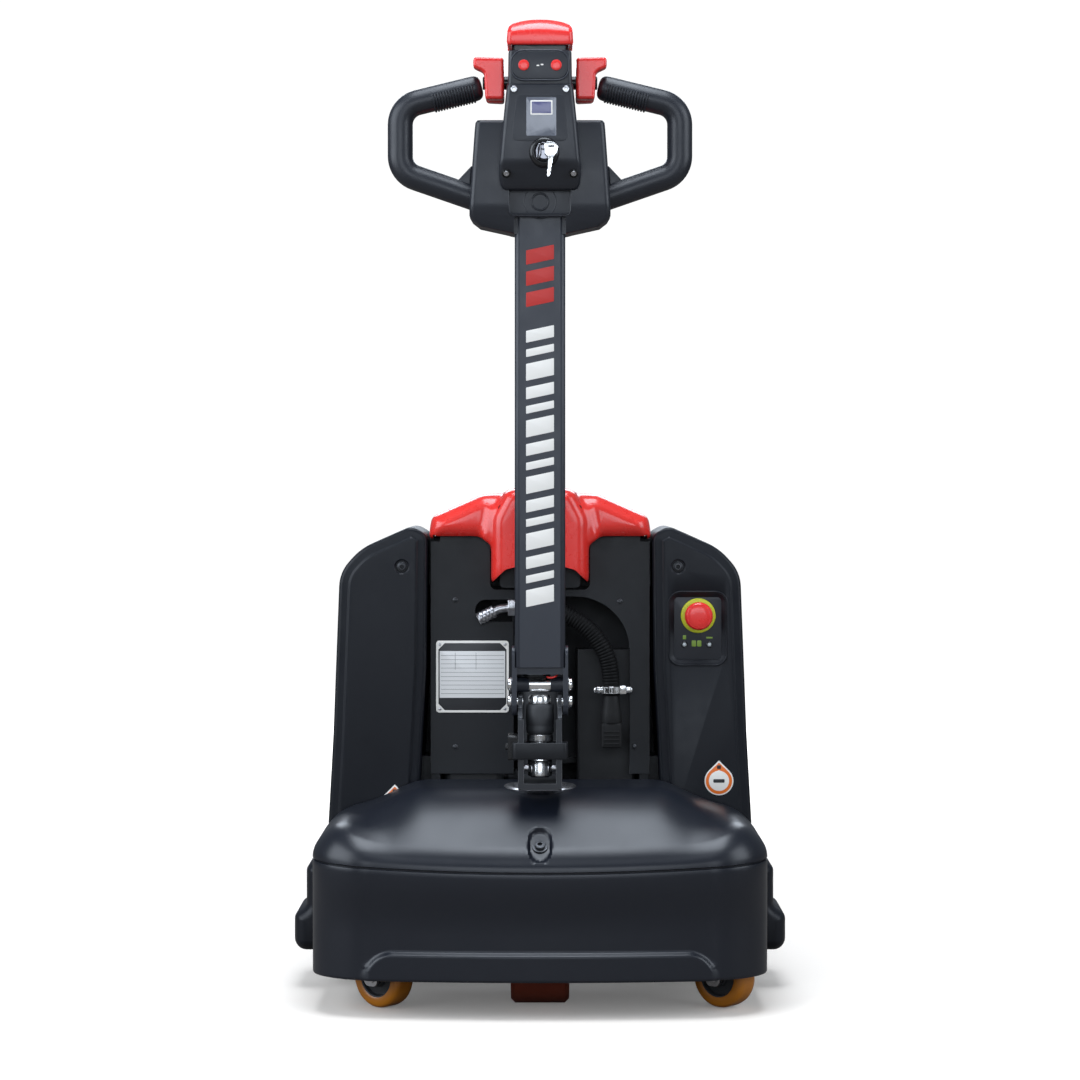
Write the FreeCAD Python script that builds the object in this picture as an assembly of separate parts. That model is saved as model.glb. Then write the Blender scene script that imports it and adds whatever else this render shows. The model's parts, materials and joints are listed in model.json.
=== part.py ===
"""Walk-behind electric pallet truck: each physical piece is a solid in its own node.

Frame: X to the operator's right, Y towards the fork tips, Z up, millimetres.
The origin is on the floor, at the middle of the overall length and width.
"""
import FreeCAD, Part
import math
import os

Vec = FreeCAD.Vector

# Overall size
LENGTH = 1550.0
FRONT = -LENGTH / 2
TIP = LENGTH / 2

# Forks
FORK_LENGTH = 1150.0
HEEL = TIP - FORK_LENGTH
FORK_SPREAD = 560.0
FORK_WIDTH = 150.0
FORK_TOP = 82.0
FORK_BOTTOM = 32.0
FORK_SHEET = 5.0
FORK_OUT = FORK_SPREAD / 2
FORK_IN = FORK_OUT - FORK_WIDTH
FORK_MID = (FORK_OUT + FORK_IN) / 2

# Lift linkage: rocker and load arms turn by the same angle while the forks rise
LIFT = 115.0
ARM = 185.0
ARM_PIVOT_Y = 715.0
PIVOT_Z = 45.0
LOAD_WHEEL_R = 37.0
LOAD_WHEEL_W = 70.0
ARM_START = math.asin((PIVOT_Z - LOAD_WHEEL_R) / ARM)
ARM_END = math.asin(math.sin(ARM_START) + LIFT / ARM)
TURN = ARM_END - ARM_START
ROCKER_Y = -400.0
ROCKER = LIFT / (2 * math.sin(TURN / 2))
CRANK = 22.0
ROD_X = 150.0
ROD_R = 6.0
CRANK_DY = CRANK * math.sin(TURN / 2)
CRANK_DZ = CRANK * math.cos(TURN / 2)
LUG_Y = ROCKER_Y - ROCKER * math.cos(TURN / 2)
LUG_Y_MID = ROCKER_Y - ROCKER
LUG_Z = PIVOT_Z + ROCKER * math.sin(TURN / 2)

# Steering and drive
STEER_Y = -640.0
DRIVE_R = 105.0
DRIVE_W = 70.0
PLATE_Z = 226.0
PLATE_T = 8.0
RING_R = 31.0
CASTER_X = 205.0
CASTER_Y = -660.0
CASTER_R = 37.5
CASTER_W = 30.0
CASTER_TRAIL = 22.0
CASTER_REST = -40.0

# Drive cover
COVER_HALF = 272.0
COVER_WALL = 4.0
COVER_BOTTOM = 45.0
COVER_SEAM = 176.0
COVER_TOP = 262.0
COVER_BACK = -560.0
COVER_BOW = 1500.0
COVER_CORNER = 70.0

# Tiller
TILT_Y = -700.0
TILT_Z = 370.0
EYE_Z = 390.0
STRUT_Z = 290.0
TUBE_W = 60.0
TUBE_D = 40.0
TUBE_WALL = 4.0
TUBE_BOTTOM = 411.0
TUBE_TOP = 945.0
HANDLE_R = 15.0
SHAFT_Z = 1105.0
POD_FRONT = -752.0
POD_BACK = -688.0
HOUSING_FRONT = -728.0
HOUSING_BACK = -672.0
POD_TOP = 1140.0

# Hood, panels and their front faces
PANEL_FRONT = -550.0
PANEL_WALL = 5.0
PANEL_BACK = -385.0
CENTRE_FRONT = -533.0
CENTRE_SHEET = 3.0
HOOD_FRONT = -556.0
HUMP_FRONT = -574.0
HOOD_WALL = 4.0
HOOD_BACK = -456.0
CYLINDER_Y = -505.0
ESTOP_X = 197.0
ESTOP_Z = 465.0

# Sheets of the lift frame
FRAME_BACK = HEEL - 8
FRAME_TOP = 540.0
FRAME_HALF = 262.0

# Tiller head
HEAD_BUTTON_X = 19.0
HEAD_BUTTON_Z = 1118.0
KEY_X = 5.0
KEY_Z = 1017.0
GUIDE_Y = -716.0

# Running clearance of pins, shafts and plungers, on the radius
FIT = 0.05


def box(x0, x1, y0, y1, z0, z1):
    return Part.makeBox(x1 - x0, y1 - y0, z1 - z0, Vec(x0, y0, z0))


def rod(axis, start, length, radius):
    """Cylinder from a start point along 'x', 'y' or 'z'."""
    direction = {"x": Vec(1, 0, 0), "y": Vec(0, 1, 0), "z": Vec(0, 0, 1)}[axis]
    return Part.makeCylinder(radius, length, Vec(*start), direction)


def ring(axis, start, length, outer, inner):
    return rod(axis, start, length, outer).cut(rod(axis, start, length, inner))


def rounded(points, radii):
    """Closed wire through the corner points, each corner turned by its own arc."""
    count = len(points)
    if not isinstance(radii, (list, tuple)):
        radii = [radii] * count
    entries = []
    for i in range(count):
        corner = points[i]
        back = (points[i - 1] - corner).normalize()
        ahead = (points[(i + 1) % count] - corner).normalize()
        if radii[i] <= 0:
            entries.append((corner, None, corner))
            continue
        half = back.getAngle(ahead) / 2
        bisector = (back + ahead).normalize()
        reach = radii[i] / math.tan(half)
        middle = corner + bisector * (radii[i] / math.sin(half) - radii[i])
        entries.append((corner + back * reach, middle, corner + ahead * reach))
    edges = []
    for i, (first, middle, last) in enumerate(entries):
        if middle is not None:
            edges.append(Part.Arc(first, middle, last).toShape())
        following = entries[(i + 1) % count][0]
        if last.distanceToPoint(following) > 1e-6:
            edges.append(Part.LineSegment(last, following).toShape())
    return Part.Wire(edges)


def prism(plane, points, low, high, radii=0):
    """Extrude a rounded outline: 'xz' along Y, 'yz' along X, 'xy' along Z."""
    if plane == "xz":
        corners = [Vec(a, low, b) for a, b in points]
        push = Vec(0, high - low, 0)
    elif plane == "yz":
        corners = [Vec(low, a, b) for a, b in points]
        push = Vec(high - low, 0, 0)
    else:
        corners = [Vec(a, b, low) for a, b in points]
        push = Vec(0, 0, high - low)
    return Part.Face(rounded(corners, radii)).extrude(push)


def join(shapes):
    result = shapes[0].multiFuse(shapes[1:]) if len(shapes) > 1 else shapes[0]
    return result.removeSplitter()


def mirrored(shape):
    return shape.mirror(Vec(0, 0, 0), Vec(1, 0, 0))


def both(shape):
    return [shape, mirrored(shape)]


def largest(shape):
    return max(shape.Solids, key=lambda solid: solid.Volume)


def hexagon(radius):
    angles = [math.radians(60 * k) for k in range(6)]
    return [(radius * math.cos(angle), radius * math.sin(angle)) for angle in angles]


def link(a, b, radius_a, radius_b, low, high):
    """Flat bar between two round bosses, given as (y, z) points, from x=low to x=high."""
    dy, dz = b[0] - a[0], b[1] - a[1]
    length = math.hypot(dy, dz)
    nx, nz = -dz / length, dy / length
    web = min(radius_a, radius_b) * 0.8
    sides = [(a[0] + nx * web, a[1] + nz * web), (b[0] + nx * web, b[1] + nz * web),
             (b[0] - nx * web, b[1] - nz * web), (a[0] - nx * web, a[1] - nz * web)]
    return join([prism("yz", sides, low, high),
                 rod("x", (low, a[0], a[1]), high - low, radius_a),
                 rod("x", (low, b[0], b[1]), high - low, radius_b)])


def cable(points, radius):
    """Round tube along straight runs joined by tangent arcs."""
    corners = [Vec(*p) for p in points]
    edges = []
    start = corners[0]
    for i in range(1, len(corners) - 1):
        back = corners[i - 1] - corners[i]
        ahead = corners[i + 1] - corners[i]
        shorter = min(back.Length, ahead.Length)
        back.normalize()
        ahead.normalize()
        half = back.getAngle(ahead) / 2
        bend = 0.45 * shorter * math.tan(half)
        reach = 0.45 * shorter
        middle = corners[i] + (back + ahead).normalize() * (bend / math.sin(half) - bend)
        first = corners[i] + back * reach
        last = corners[i] + ahead * reach
        edges.append(Part.LineSegment(start, first).toShape())
        edges.append(Part.Arc(first, middle, last).toShape())
        start = last
        print("bend radius", round(bend, 1))
    edges.append(Part.LineSegment(start, corners[-1]).toShape())
    path = Part.Wire(edges)
    tangent = corners[1] - corners[0]
    circle = Part.Wire([Part.Circle(corners[0], tangent, radius).toShape()])
    tube = path.makePipeShell([circle], True, False)
    print("cable volume ratio", round(tube.Volume / (math.pi * radius ** 2 * path.Length), 4))
    return tube


# ---- chassis: carries the steering, the casters, the cylinder and the electrics ----

def chassis_frame():
    plate = box(-150, 150, -690, -470, PLATE_Z, PLATE_Z + PLATE_T)
    plate = plate.cut(rod("z", (0, STEER_Y, PLATE_Z - 1), PLATE_T + 2, 45))
    housing = ring("z", (0, STEER_Y, PLATE_Z - 1), 17, 46, 35)
    shoulder = ring("z", (0, STEER_Y, PLATE_Z - 1), 3, 36, 30)
    cover_strap = prism("yz", [(-689, 234), (-689, 226), (-742, 187), (-748, 193)], -16, 16)
    parts = [plate, housing, shoulder, cover_strap]
    side = [box(144, 150, -690, -470, 180, PLATE_Z + PLATE_T)]
    side.append(box(150, 260, -722, -600, 180, 188))
    side.append(box(150, 180, -602, -540, 180, 188))
    cheek = prism("yz", [(-602, 188), (-602, 82), (-538, 82), (-538, 188)], 172, 180,
                  [0, 12, 12, 0])
    slot_half = 8 + 1.4
    slot = prism("yz", [(LUG_Y_MID - slot_half, LUG_Z - slot_half),
                        (LUG_Y + slot_half, LUG_Z - slot_half),
                        (LUG_Y + slot_half, LUG_Z + slot_half),
                        (LUG_Y_MID - slot_half, LUG_Z + slot_half)], 171, 181, 9)
    side.append(cheek.cut(slot))
    caster_tube = rod("z", (CASTER_X, CASTER_Y, 106), 76, 20)
    side.append(caster_tube)
    rail = box(125, 136, CENTRE_FRONT + CENTRE_SHEET, -490, PLATE_Z + 2, 555)
    side.append(rail)
    side.append(box(125, 150, -505, -490, PLATE_Z + 2, PLATE_Z + 60))
    half = join(side).cut(rod("z", (CASTER_X, CASTER_Y, 100), 100, 8 + FIT))
    return join(parts + both(half))


def steer_bearing():
    return ring("z", (0, STEER_Y, PLATE_Z + 2), 14, 35, 25 + FIT)


def cover_plan(inset, low, high):
    """Plan outline of the cover: a bowed front, round corners and straight sides."""
    half = COVER_HALF - inset
    front = FRONT + inset
    corner = COVER_CORNER - inset
    sag = COVER_BOW - math.sqrt(COVER_BOW ** 2 - (half - corner) ** 2)
    centre = Vec(half - corner, front + sag + corner, low)
    turn = math.pi / 4
    tangent = centre + Vec(0, -corner, 0)
    middle = centre + Vec(corner * math.sin(turn), -corner * math.cos(turn), 0)
    side = centre + Vec(corner, 0, 0)
    back = Vec(half, COVER_BACK, low)
    mirror = [Vec(-p.x, p.y, p.z) for p in (tangent, middle, side, back)]
    edges = [Part.Arc(mirror[0], Vec(0, front, low), tangent).toShape(),
             Part.Arc(tangent, middle, side).toShape(),
             Part.LineSegment(side, back).toShape(),
             Part.LineSegment(back, mirror[3]).toShape(),
             Part.LineSegment(mirror[3], mirror[2]).toShape(),
             Part.Arc(mirror[2], mirror[1], mirror[0]).toShape()]
    return Part.Face(Part.Wire(edges)).extrude(Vec(0, 0, high - low))


def cover_body(inset):
    """Plan outline cut by the side profile and by the bell-shaped front profile."""
    body = cover_plan(inset, COVER_BOTTOM - inset, COVER_TOP + 5)
    top = COVER_TOP - inset
    seam = COVER_SEAM - inset
    low = COVER_BOTTOM - inset - 1
    front = FRONT + inset - 1
    side_edges = [
        Part.LineSegment(Vec(-300, front, low), Vec(-300, front, seam)).toShape(),
        Part.Arc(Vec(-300, front, seam), Vec(-300, -728 + inset, top - 32),
                 Vec(-300, -640, top)).toShape(),
        Part.LineSegment(Vec(-300, -640, top), Vec(-300, COVER_BACK + 1, top)).toShape(),
        Part.LineSegment(Vec(-300, COVER_BACK + 1, top),
                         Vec(-300, COVER_BACK + 1, low)).toShape(),
        Part.LineSegment(Vec(-300, COVER_BACK + 1, low), Vec(-300, front, low)).toShape()]
    side = Part.Face(Part.Wire(side_edges)).extrude(Vec(600, 0, 0))
    bell = [(-300, low), (-300, 203 - inset), (-262, 206 - inset), (-222, 217 - inset),
            (-168, 254 - inset), (-138, top), (138, top), (168, 254 - inset),
            (222, 217 - inset), (262, 206 - inset), (300, 203 - inset), (300, low)]
    radii = [0, 0, 40, 60, 70, 40, 40, 70, 60, 40, 0, 0]
    front_view = prism("xz", bell, -800, -500, radii)
    return body.common(side).common(front_view)


def drive_cover():
    shell = cover_body(0).cut(cover_body(COVER_WALL))
    shell = shell.cut(rod("z", (0, STEER_Y, 240), 40, RING_R + 2))
    shell = shell.cut(box(-COVER_HALF + 4, COVER_HALF - 4, COVER_BACK - 6, COVER_BACK + 2,
                          COVER_BOTTOM - 2, 195))
    bolt_hole = rod("z", (0, 0, -30), 60, 4.2)
    bolt_hole.rotate(Vec(0, 0, 0), Vec(1, 0, 0), 50)
    bolt_hole.translate(Vec(0, -748, 206))
    return largest(shell.cut(bolt_hole))


def cover_bolt():
    bolt = join([rod("z", (0, 0, 0), 5, 8), rod("z", (0, 0, -11), 12, 4)])
    bolt = bolt.cut(prism("xy", hexagon(3), 2.5, 6))
    bolt.rotate(Vec(0, 0, 0), Vec(1, 0, 0), 50)
    bolt.translate(Vec(0, -753.5, 210.5))
    return bolt


def centre_panel():
    panel = prism("xz", [(-137, 266), (-137, 557), (-125, 557), (-125, 580), (125, 580),
                         (125, 557), (137, 557), (137, 266)],
                  CENTRE_FRONT, CENTRE_FRONT + CENTRE_SHEET)
    low, high = CENTRE_FRONT - 1, CENTRE_FRONT + CENTRE_SHEET + 1
    arch = prism("xz", [(-33, 260), (-33, 488), (112, 488), (112, 260)], low, high,
                 [0, 30, 68, 0])
    notch = prism("xz", [(-62, 600), (-62, 497), (62, 497), (62, 600)], low, high,
                  [0, 8, 8, 0])
    slot = prism("xz", [(-81, 457), (-81, 484), (-34.5, 484), (-34.5, 457)], low, high,
                 [13, 13, 0, 0])
    return panel.cut(arch).cut(notch).cut(slot)


def lift_cylinder():
    barrel = rod("z", (0, CYLINDER_Y, PLATE_Z + PLATE_T), 485 - PLATE_Z - PLATE_T, 28)
    gland = rod("z", (0, CYLINDER_Y, 462), 23, 27)
    port = rod("x", (-40, CYLINDER_Y, 262), 20, 8)
    return join([barrel, gland, port]).cut(rod("z", (0, CYLINDER_Y, 246), 260, 15 + FIT))


def hydraulic_unit():
    tank = prism("xy", [(-120, -522), (-46, -522), (-46, -478), (-120, -478)],
                 PLATE_Z + PLATE_T, 330, 8)
    block = box(-112, -54, -520, -482, 330, 352)
    motor = rod("z", (-83, -500, 352), 86, 20)
    line = rod("x", (-47, CYLINDER_Y, 262), 7, 5)
    return join([tank, block, motor, line])


def motor_controller():
    case = prism("xy", [(46, -500), (120, -500), (120, -474), (46, -474)],
                 PLATE_Z + PLATE_T, 420, 4)
    fins = [box(50, 116, -474, -462, 246 + 14 * k, 249 + 14 * k) for k in range(12)]
    return join([case] + fins)


CONDUIT = [(-24, -547, 475), (8, -547, 475), (38, -547, 465), (64, -547, 446),
           (82, -547, 420), (89, -547, 393), (89, -547, 365)]


def conduit():
    return cable(CONDUIT, 11)


def conduit_clamp():
    x, y = CONDUIT[-1][:2]
    band = ring("z", (x, y, 368), 11, 14.2, 11)
    ear = box(x + 12.5, x + 24, y - 5, y + 5, 369, 378)
    screw = rod("x", (x + 24, y, 373.5), 6, 4)
    return join([band, ear, screw])


def conduit_boot():
    x, y, top = CONDUIT[-1]
    boot = Part.makeCone(9.5, 13.5, top - 331, Vec(x, y, 331))
    plug = prism("xz", [(x - 13, 300), (x - 13, 331), (x + 13, 331), (x + 13, 300)],
                 y - 12, y + 12, 4)
    lead = box(x - 9, x + 9, y + 12, -500, 304, 326)
    return join([boot, plug, lead])


def hose_fitting():
    end, y, z = CONDUIT[0]
    nut = prism("yz", [(y + a, z + b) for a, b in hexagon(11)], end - 14, end)
    neck = rod("x", (end - 28, y, z), 15, 5.5)
    elbow = rod("y", (end - 28, y, z), 30, 5.5)
    ferrule = rod("x", (end - 52, y, z), 26, 8)
    collar = rod("y", (end - 28, y + 28, z), 6, 9)
    return join([nut, neck, elbow, ferrule, collar])


def data_plate():
    return prism("xz", [(-130, 343), (-130, 433), (-39, 433), (-39, 343)],
                 CENTRE_FRONT - 1.2, CENTRE_FRONT, 3)


# ---- lift body: fork carriage, forks and everything that rises with them ----

def lift_frame():
    """Back plate with feet at the fork heels, battery tray, ram bar and side brackets."""
    edge = [(FRAME_HALF - 4, FORK_TOP), (FRAME_HALF - 6, 250), (246, 492), (214, FRAME_TOP)]
    outline = edge + [(-x, z) for x, z in reversed(edge)]
    back = prism("xz", outline, FRAME_BACK, HEEL, [0, 0, 10, 10, 10, 10, 0, 0])
    foot = box(FORK_IN, FRAME_HALF - 4, FRAME_BACK, HEEL, FORK_BOTTOM, FORK_TOP + 1)
    rod_hole = rod("y", (ROD_X, FRAME_BACK - 5, PIVOT_Z + CRANK_DZ), 20, ROD_R + 4)
    tray = box(-160, 160, -455, -382, 272, 280)
    bar = box(-229, 229, -475, -458, 500, 528)
    parts = [back, tray, bar]
    side = [box(228, 234, -527, -382, 190, 520), box(228, 250, -545, -382, 190, 198),
            box(244, 250, -545, -396, 45, 198)]
    lug = prism("yz", [(-428, 26), (-382, 26), (-382, 120), (-410, 120)], 186, 194,
                [14, 0, 0, 10])
    side.append(lug.cut(rod("x", (180, ROCKER_Y, PIVOT_Z), 20, 10 + FIT)))
    side.append(foot.cut(rod_hole))
    return join(parts + both(join(side)))


def fork_profile(inset, width_low, width_high, back, floor):
    top = FORK_TOP - inset
    return prism("yz", [(back, floor), (back, top), (738, top), (TIP - inset, 54),
                        (TIP - inset, floor)], width_low, width_high,
                 [0, 0, 30, 6, 0] if inset == 0 else 0)


def fork():
    outer = fork_profile(0, FORK_IN, FORK_OUT, HEEL, FORK_BOTTOM)
    plan = prism("xy", [(FORK_IN, -396), (FORK_OUT, -396), (FORK_OUT, TIP), (FORK_IN, TIP)],
                 0, 100, [0, 0, 45, 45])
    outer = outer.common(plan)
    hollow = fork_profile(FORK_SHEET, FORK_IN + 6, FORK_OUT - 6, -396, FORK_BOTTOM - 1)
    inner_plan = prism("xy", [(FORK_IN + 6, -396), (FORK_OUT - 6, -396),
                              (FORK_OUT - 6, TIP - 6), (FORK_IN + 6, TIP - 6)],
                       0, 100, [0, 0, 39, 39])
    shell = outer.cut(hollow.common(inner_plan))
    return shell.cut(rod("x", (120, ARM_PIVOT_Y, PIVOT_Z), 170, 7 + FIT))


def bumper():
    outline = [(250, 46), (307, 46), (307, 92), (292, 101), (292, 150), (284, 156), (250, 156)]
    block = prism("xz", outline, -556, -420, [0, 10, 8, 8, 6, 3, 0])
    plan = prism("xy", [(240, -556), (307, -556), (307, -420), (240, -420)], 40, 160,
                 [0, 24, 24, 0])
    return block.common(plan)


PANEL_OUTLINE = [(264.5, 210), (258, 318), (250, 519), (223, 549), (160, 577), (140, 566),
                 (142, 400), (153, 210)]
PANEL_RADII = [6, 0, 16, 16, 12, 10, 0, 6]


def panel_inset(distance):
    """Panel outline moved inwards by the same distance everywhere, as plain corners."""
    face = Part.Face(rounded([Vec(x, 0, z) for x, z in PANEL_OUTLINE], PANEL_RADII))
    return Part.Face(face.Wires[0].makeOffset2D(-distance))


def side_panel(with_recess):
    """A tray open at the back, its inner edge only a short flange."""
    outer = panel_inset(0.01)
    outer.translate(Vec(0, PANEL_FRONT, 0))
    shell = outer.extrude(Vec(0, PANEL_BACK - PANEL_FRONT, 0))
    inner = panel_inset(PANEL_WALL)
    inner.translate(Vec(0, PANEL_FRONT + PANEL_WALL, 0))
    shell = shell.cut(inner.extrude(Vec(0, 200, 0)))
    shell = shell.cut(box(130, 158, PANEL_FRONT + 22, PANEL_BACK + 1, 200, 558))
    shell = shell.cut(box(130, 262, PANEL_FRONT + 22, PANEL_BACK + 1, 190, 217))
    groove = panel_inset(15).cut(panel_inset(17.5))
    groove.translate(Vec(0, PANEL_FRONT - 1, 0))
    shell = shell.cut(groove.extrude(Vec(0, 2.2, 0)))
    shell = shell.cut(rod("y", (172, PANEL_FRONT - 1, 526), 3.5, 7.5))
    shell = shell.cut(rod("y", (172, PANEL_FRONT, 526), 8, 2.5))
    if with_recess:
        recess = prism("xz", [(162, 405), (162, 493), (231, 493), (231, 405)],
                       PANEL_FRONT - 1, PANEL_FRONT + 2.5, 10)
        shell = shell.cut(recess)
        shell = shell.cut(rod("y", (ESTOP_X, PANEL_FRONT, ESTOP_Z), 10, 10))
    return largest(shell)


def side_panel_left():
    return mirrored(side_panel(False))


def side_panel_right():
    return side_panel(True)


def hood():
    half = [(37.5, 624), (46, 619), (72, 616), (135.6, 588), (140, 560)]
    outline = [(-x, z) for x, z in reversed(half)] + half
    radii = [0, 10, 12, 4, 4, 4, 4, 12, 10, 0]
    shell = prism("xz", outline, HOOD_FRONT, HOOD_BACK, radii)
    inner = [(x * 0.97, z - HOOD_WALL) for x, z in outline]
    shell = shell.cut(prism("xz", inner, HOOD_FRONT + HOOD_WALL, HOOD_BACK + 1))
    hump = prism("yz", [(HOOD_FRONT - 1, 560), (HUMP_FRONT, 545), (HUMP_FRONT, 590),
                        (-566, 624), (-520, 624), (-520, 560)], -61, 61, [0, 0, 16, 12, 0, 0])
    core = box(-57, 57, HUMP_FRONT + HOOD_WALL, -500, 500, 620)
    arch = prism("xz", [(-41, 500), (-41, 527), (41, 527), (41, 500)], -600, -500,
                 [0, 14, 14, 0])
    legs = prism("yz", [(HUMP_FRONT, 510), (HUMP_FRONT, 562), (-552, 562), (-552, 510)],
                 -61, 61, 0)
    skin = join([hump, legs]).cut(core.common(prism(
        "yz", [(HUMP_FRONT + HOOD_WALL, 500), (HUMP_FRONT + HOOD_WALL, 588), (-562, 619),
               (-500, 619), (-500, 500)], -57, 57)))
    shell = shell.cut(core.common(box(-57, 57, -560, -500, 555, 619)))
    return join([shell, skin]).cut(arch)


def lift_ram():
    return rod("z", (0, CYLINDER_Y, 250), 250, 15)


def ram_head():
    block = prism("xz", [(-50, 500), (-50, 560), (50, 560), (50, 500)], -546, -490, 5)
    tongue = box(-36, 36, -492, -475, 502, 526)
    return join([block, tongue])


def estop_base():
    return join([ring("y", (ESTOP_X, PANEL_FRONT - 1.5, ESTOP_Z), 4, 21.75, 9.3),
                 ring("y", (ESTOP_X, PANEL_FRONT + 2, ESTOP_Z), 24, 9.9, 9.3)])


def panel_screws():
    right = join([rod("y", (172, PANEL_FRONT, 526), 2.5, 5.5),
                  rod("y", (172, PANEL_FRONT + 2, 526), 12, 2.5)])
    right = right.cut(prism("xz", [(172 + a, 526 + b) for a, b in hexagon(2.5)],
                            PANEL_FRONT, PANEL_FRONT + 2))
    return Part.makeCompound(both(right))


# ---- battery pack, lifts out of the carriage ----

def battery_case():
    case = prism("xy", [(-134, -447), (134, -447), (134, -392), (-134, -392)], 280, 575, 8)
    return case.cut(prism("xy", [(-110, -436), (110, -436), (110, -403), (-110, -403)],
                          560, 580, 6))


def battery_handle():
    bar = box(-62, 62, -426, -413, 592, 602)
    posts = both(box(52, 62, -426, -413, 560, 594))
    return join([bar] + posts)


# ---- lift linkage ----

def rocker():
    tube = rod("x", (-184, ROCKER_Y, PIVOT_Z), 368, 12)
    axle = rod("x", (-197, ROCKER_Y, PIVOT_Z), 394, 10)
    arm = link((ROCKER_Y, PIVOT_Z), (LUG_Y, LUG_Z), 16, 15, 160, 168)
    pin = rod("x", (160, LUG_Y, LUG_Z), 24, 8)
    crank = link((ROCKER_Y, PIVOT_Z), (ROCKER_Y + CRANK_DY, PIVOT_Z + CRANK_DZ),
                 16, 9, 156, 161)
    crank_pin = rod("x", (145, ROCKER_Y + CRANK_DY, PIVOT_Z + CRANK_DZ), 12, 5)
    return join([tube, axle] + both(join([arm, pin, crank, crank_pin])))


def push_rod():
    z = PIVOT_Z + CRANK_DZ
    start, end = ROCKER_Y + CRANK_DY, ARM_PIVOT_Y + CRANK_DY
    bar = rod("y", (ROD_X, start + 6, z), end - start - 12, ROD_R)
    eyes = [rod("x", (146, y, z), 8, 8.5) for y in (start, end)]
    shape = join([bar] + eyes)
    for y in (start, end):
        shape = shape.cut(rod("x", (140, y, z), 20, 5 + FIT))
    return shape


def load_arm():
    pivot = (ARM_PIVOT_Y, PIVOT_Z)
    wheel = (ARM_PIVOT_Y - ARM * math.cos(ARM_START), LOAD_WHEEL_R)
    plates = [link(pivot, wheel, 15, 14, low, low + 5) for low in (163, 242)]
    pin = rod("x", (FORK_IN + 0.5, pivot[0], pivot[1]), FORK_WIDTH - 1, 7)
    sleeve = rod("x", (163, pivot[0], pivot[1]), 84, 12)
    axle = rod("x", (160, wheel[0], wheel[1]), 90, 8)
    crank_end = (pivot[0] + CRANK_DY, pivot[1] + CRANK_DZ)
    crank = link(pivot, crank_end, 14, 9, 157, 164)
    crank_pin = rod("x", (145, crank_end[0], crank_end[1]), 14, 5)
    return join(plates + [pin, sleeve, axle, crank, crank_pin])


def load_wheel():
    y = ARM_PIVOT_Y - ARM * math.cos(ARM_START)
    x = FORK_MID - LOAD_WHEEL_W / 2
    return bevelled_wheel((x, y, LOAD_WHEEL_R), LOAD_WHEEL_W, LOAD_WHEEL_R, 8 + FIT, 3)


def bevelled_wheel(start, width, radius, bore, bevel):
    """Wheel turned about X, with bevelled tread edges and a through bore."""
    x, y, z = start
    section = [(x, bore), (x, radius - bevel), (x + bevel, radius), (x + width - bevel, radius),
               (x + width, radius - bevel), (x + width, bore)]
    wire = Part.makePolygon([Vec(a, y, z + b) for a, b in section + section[:1]])
    return Part.Face(wire).revolve(Vec(x, y, z), Vec(1, 0, 0), 360)


# ---- casters ----

def caster_place(shape, side):
    shape.rotate(Vec(0, 0, 0), Vec(0, 0, 1), CASTER_REST)
    shape.translate(Vec(side * CASTER_X, CASTER_Y, 0))
    return shape


def caster_fork(side):
    stem = rod("z", (0, 0, 98), 80, 8)
    crown = rod("z", (0, 0, 94), 7, 24)
    bridge = box(-16, CASTER_TRAIL + 12, -22, 22, 94, 98)
    legs = []
    for low in (-22, 18):
        points = [(-16, 98), (-16, 84), (CASTER_TRAIL - 9, 27), (CASTER_TRAIL + 9, 27),
                  (CASTER_TRAIL + 12, 98)]
        legs.append(prism("xz", points, low, low + 4, [0, 6, 7, 7, 0]))
    axle = rod("y", (CASTER_TRAIL, -24, CASTER_R), 48, 6)
    return caster_place(join([stem, crown, bridge, axle] + legs), side)


def caster_wheel(side):
    wheel = bevelled_wheel((-CASTER_W / 2, 0, 0), CASTER_W, CASTER_R, 6 + FIT, 4)
    wheel.rotate(Vec(0, 0, 0), Vec(0, 0, 1), 90)
    wheel.translate(Vec(CASTER_TRAIL, 0, CASTER_R))
    return caster_place(wheel, side)


# ---- steering and drive unit ----

def steer_shaft():
    shaft = rod("z", (0, STEER_Y, 214), 48, 25)
    flange = rod("z", (0, STEER_Y, 258), 8, RING_R)
    base = rod("z", (0, STEER_Y, 212), 8, 29)
    return join([shaft, flange, base]).cut(rod("z", (0, STEER_Y, 211), 56, 12))


def gear_case():
    bridge = prism("xy", [(-64, STEER_Y - 42), (48, STEER_Y - 42), (48, STEER_Y + 42),
                          (-64, STEER_Y + 42)], 212.0, 219.5, 12)
    bridge = bridge.cut(rod("z", (0, STEER_Y, 210), 12, 29))
    left = link((STEER_Y, DRIVE_R), (STEER_Y, 188), 62, 30, -68, -39)
    left = join([left, box(-68, -39, STEER_Y - 42, STEER_Y + 42, 188, 219.5)])
    cap = rod("x", (-74, STEER_Y, DRIVE_R), 8, 40)
    right = join([rod("x", (39, STEER_Y, DRIVE_R), 6, 46),
                  box(39, 45, STEER_Y - 36, STEER_Y + 36, DRIVE_R, 219.5)])
    body = join([bridge, left, cap, right])
    body = body.cut(ring("z", (0, STEER_Y, 200), 30, 140, 56))
    return body.cut(rod("x", (-60, STEER_Y, DRIVE_R), 120, 15 + FIT))


def drive_motor():
    return join([rod("x", (45, STEER_Y, DRIVE_R), 62, 48),
                 rod("x", (105, STEER_Y, DRIVE_R), 8, 38)]).cut(
                     rod("x", (44, STEER_Y, DRIVE_R), 16, 16))


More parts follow.
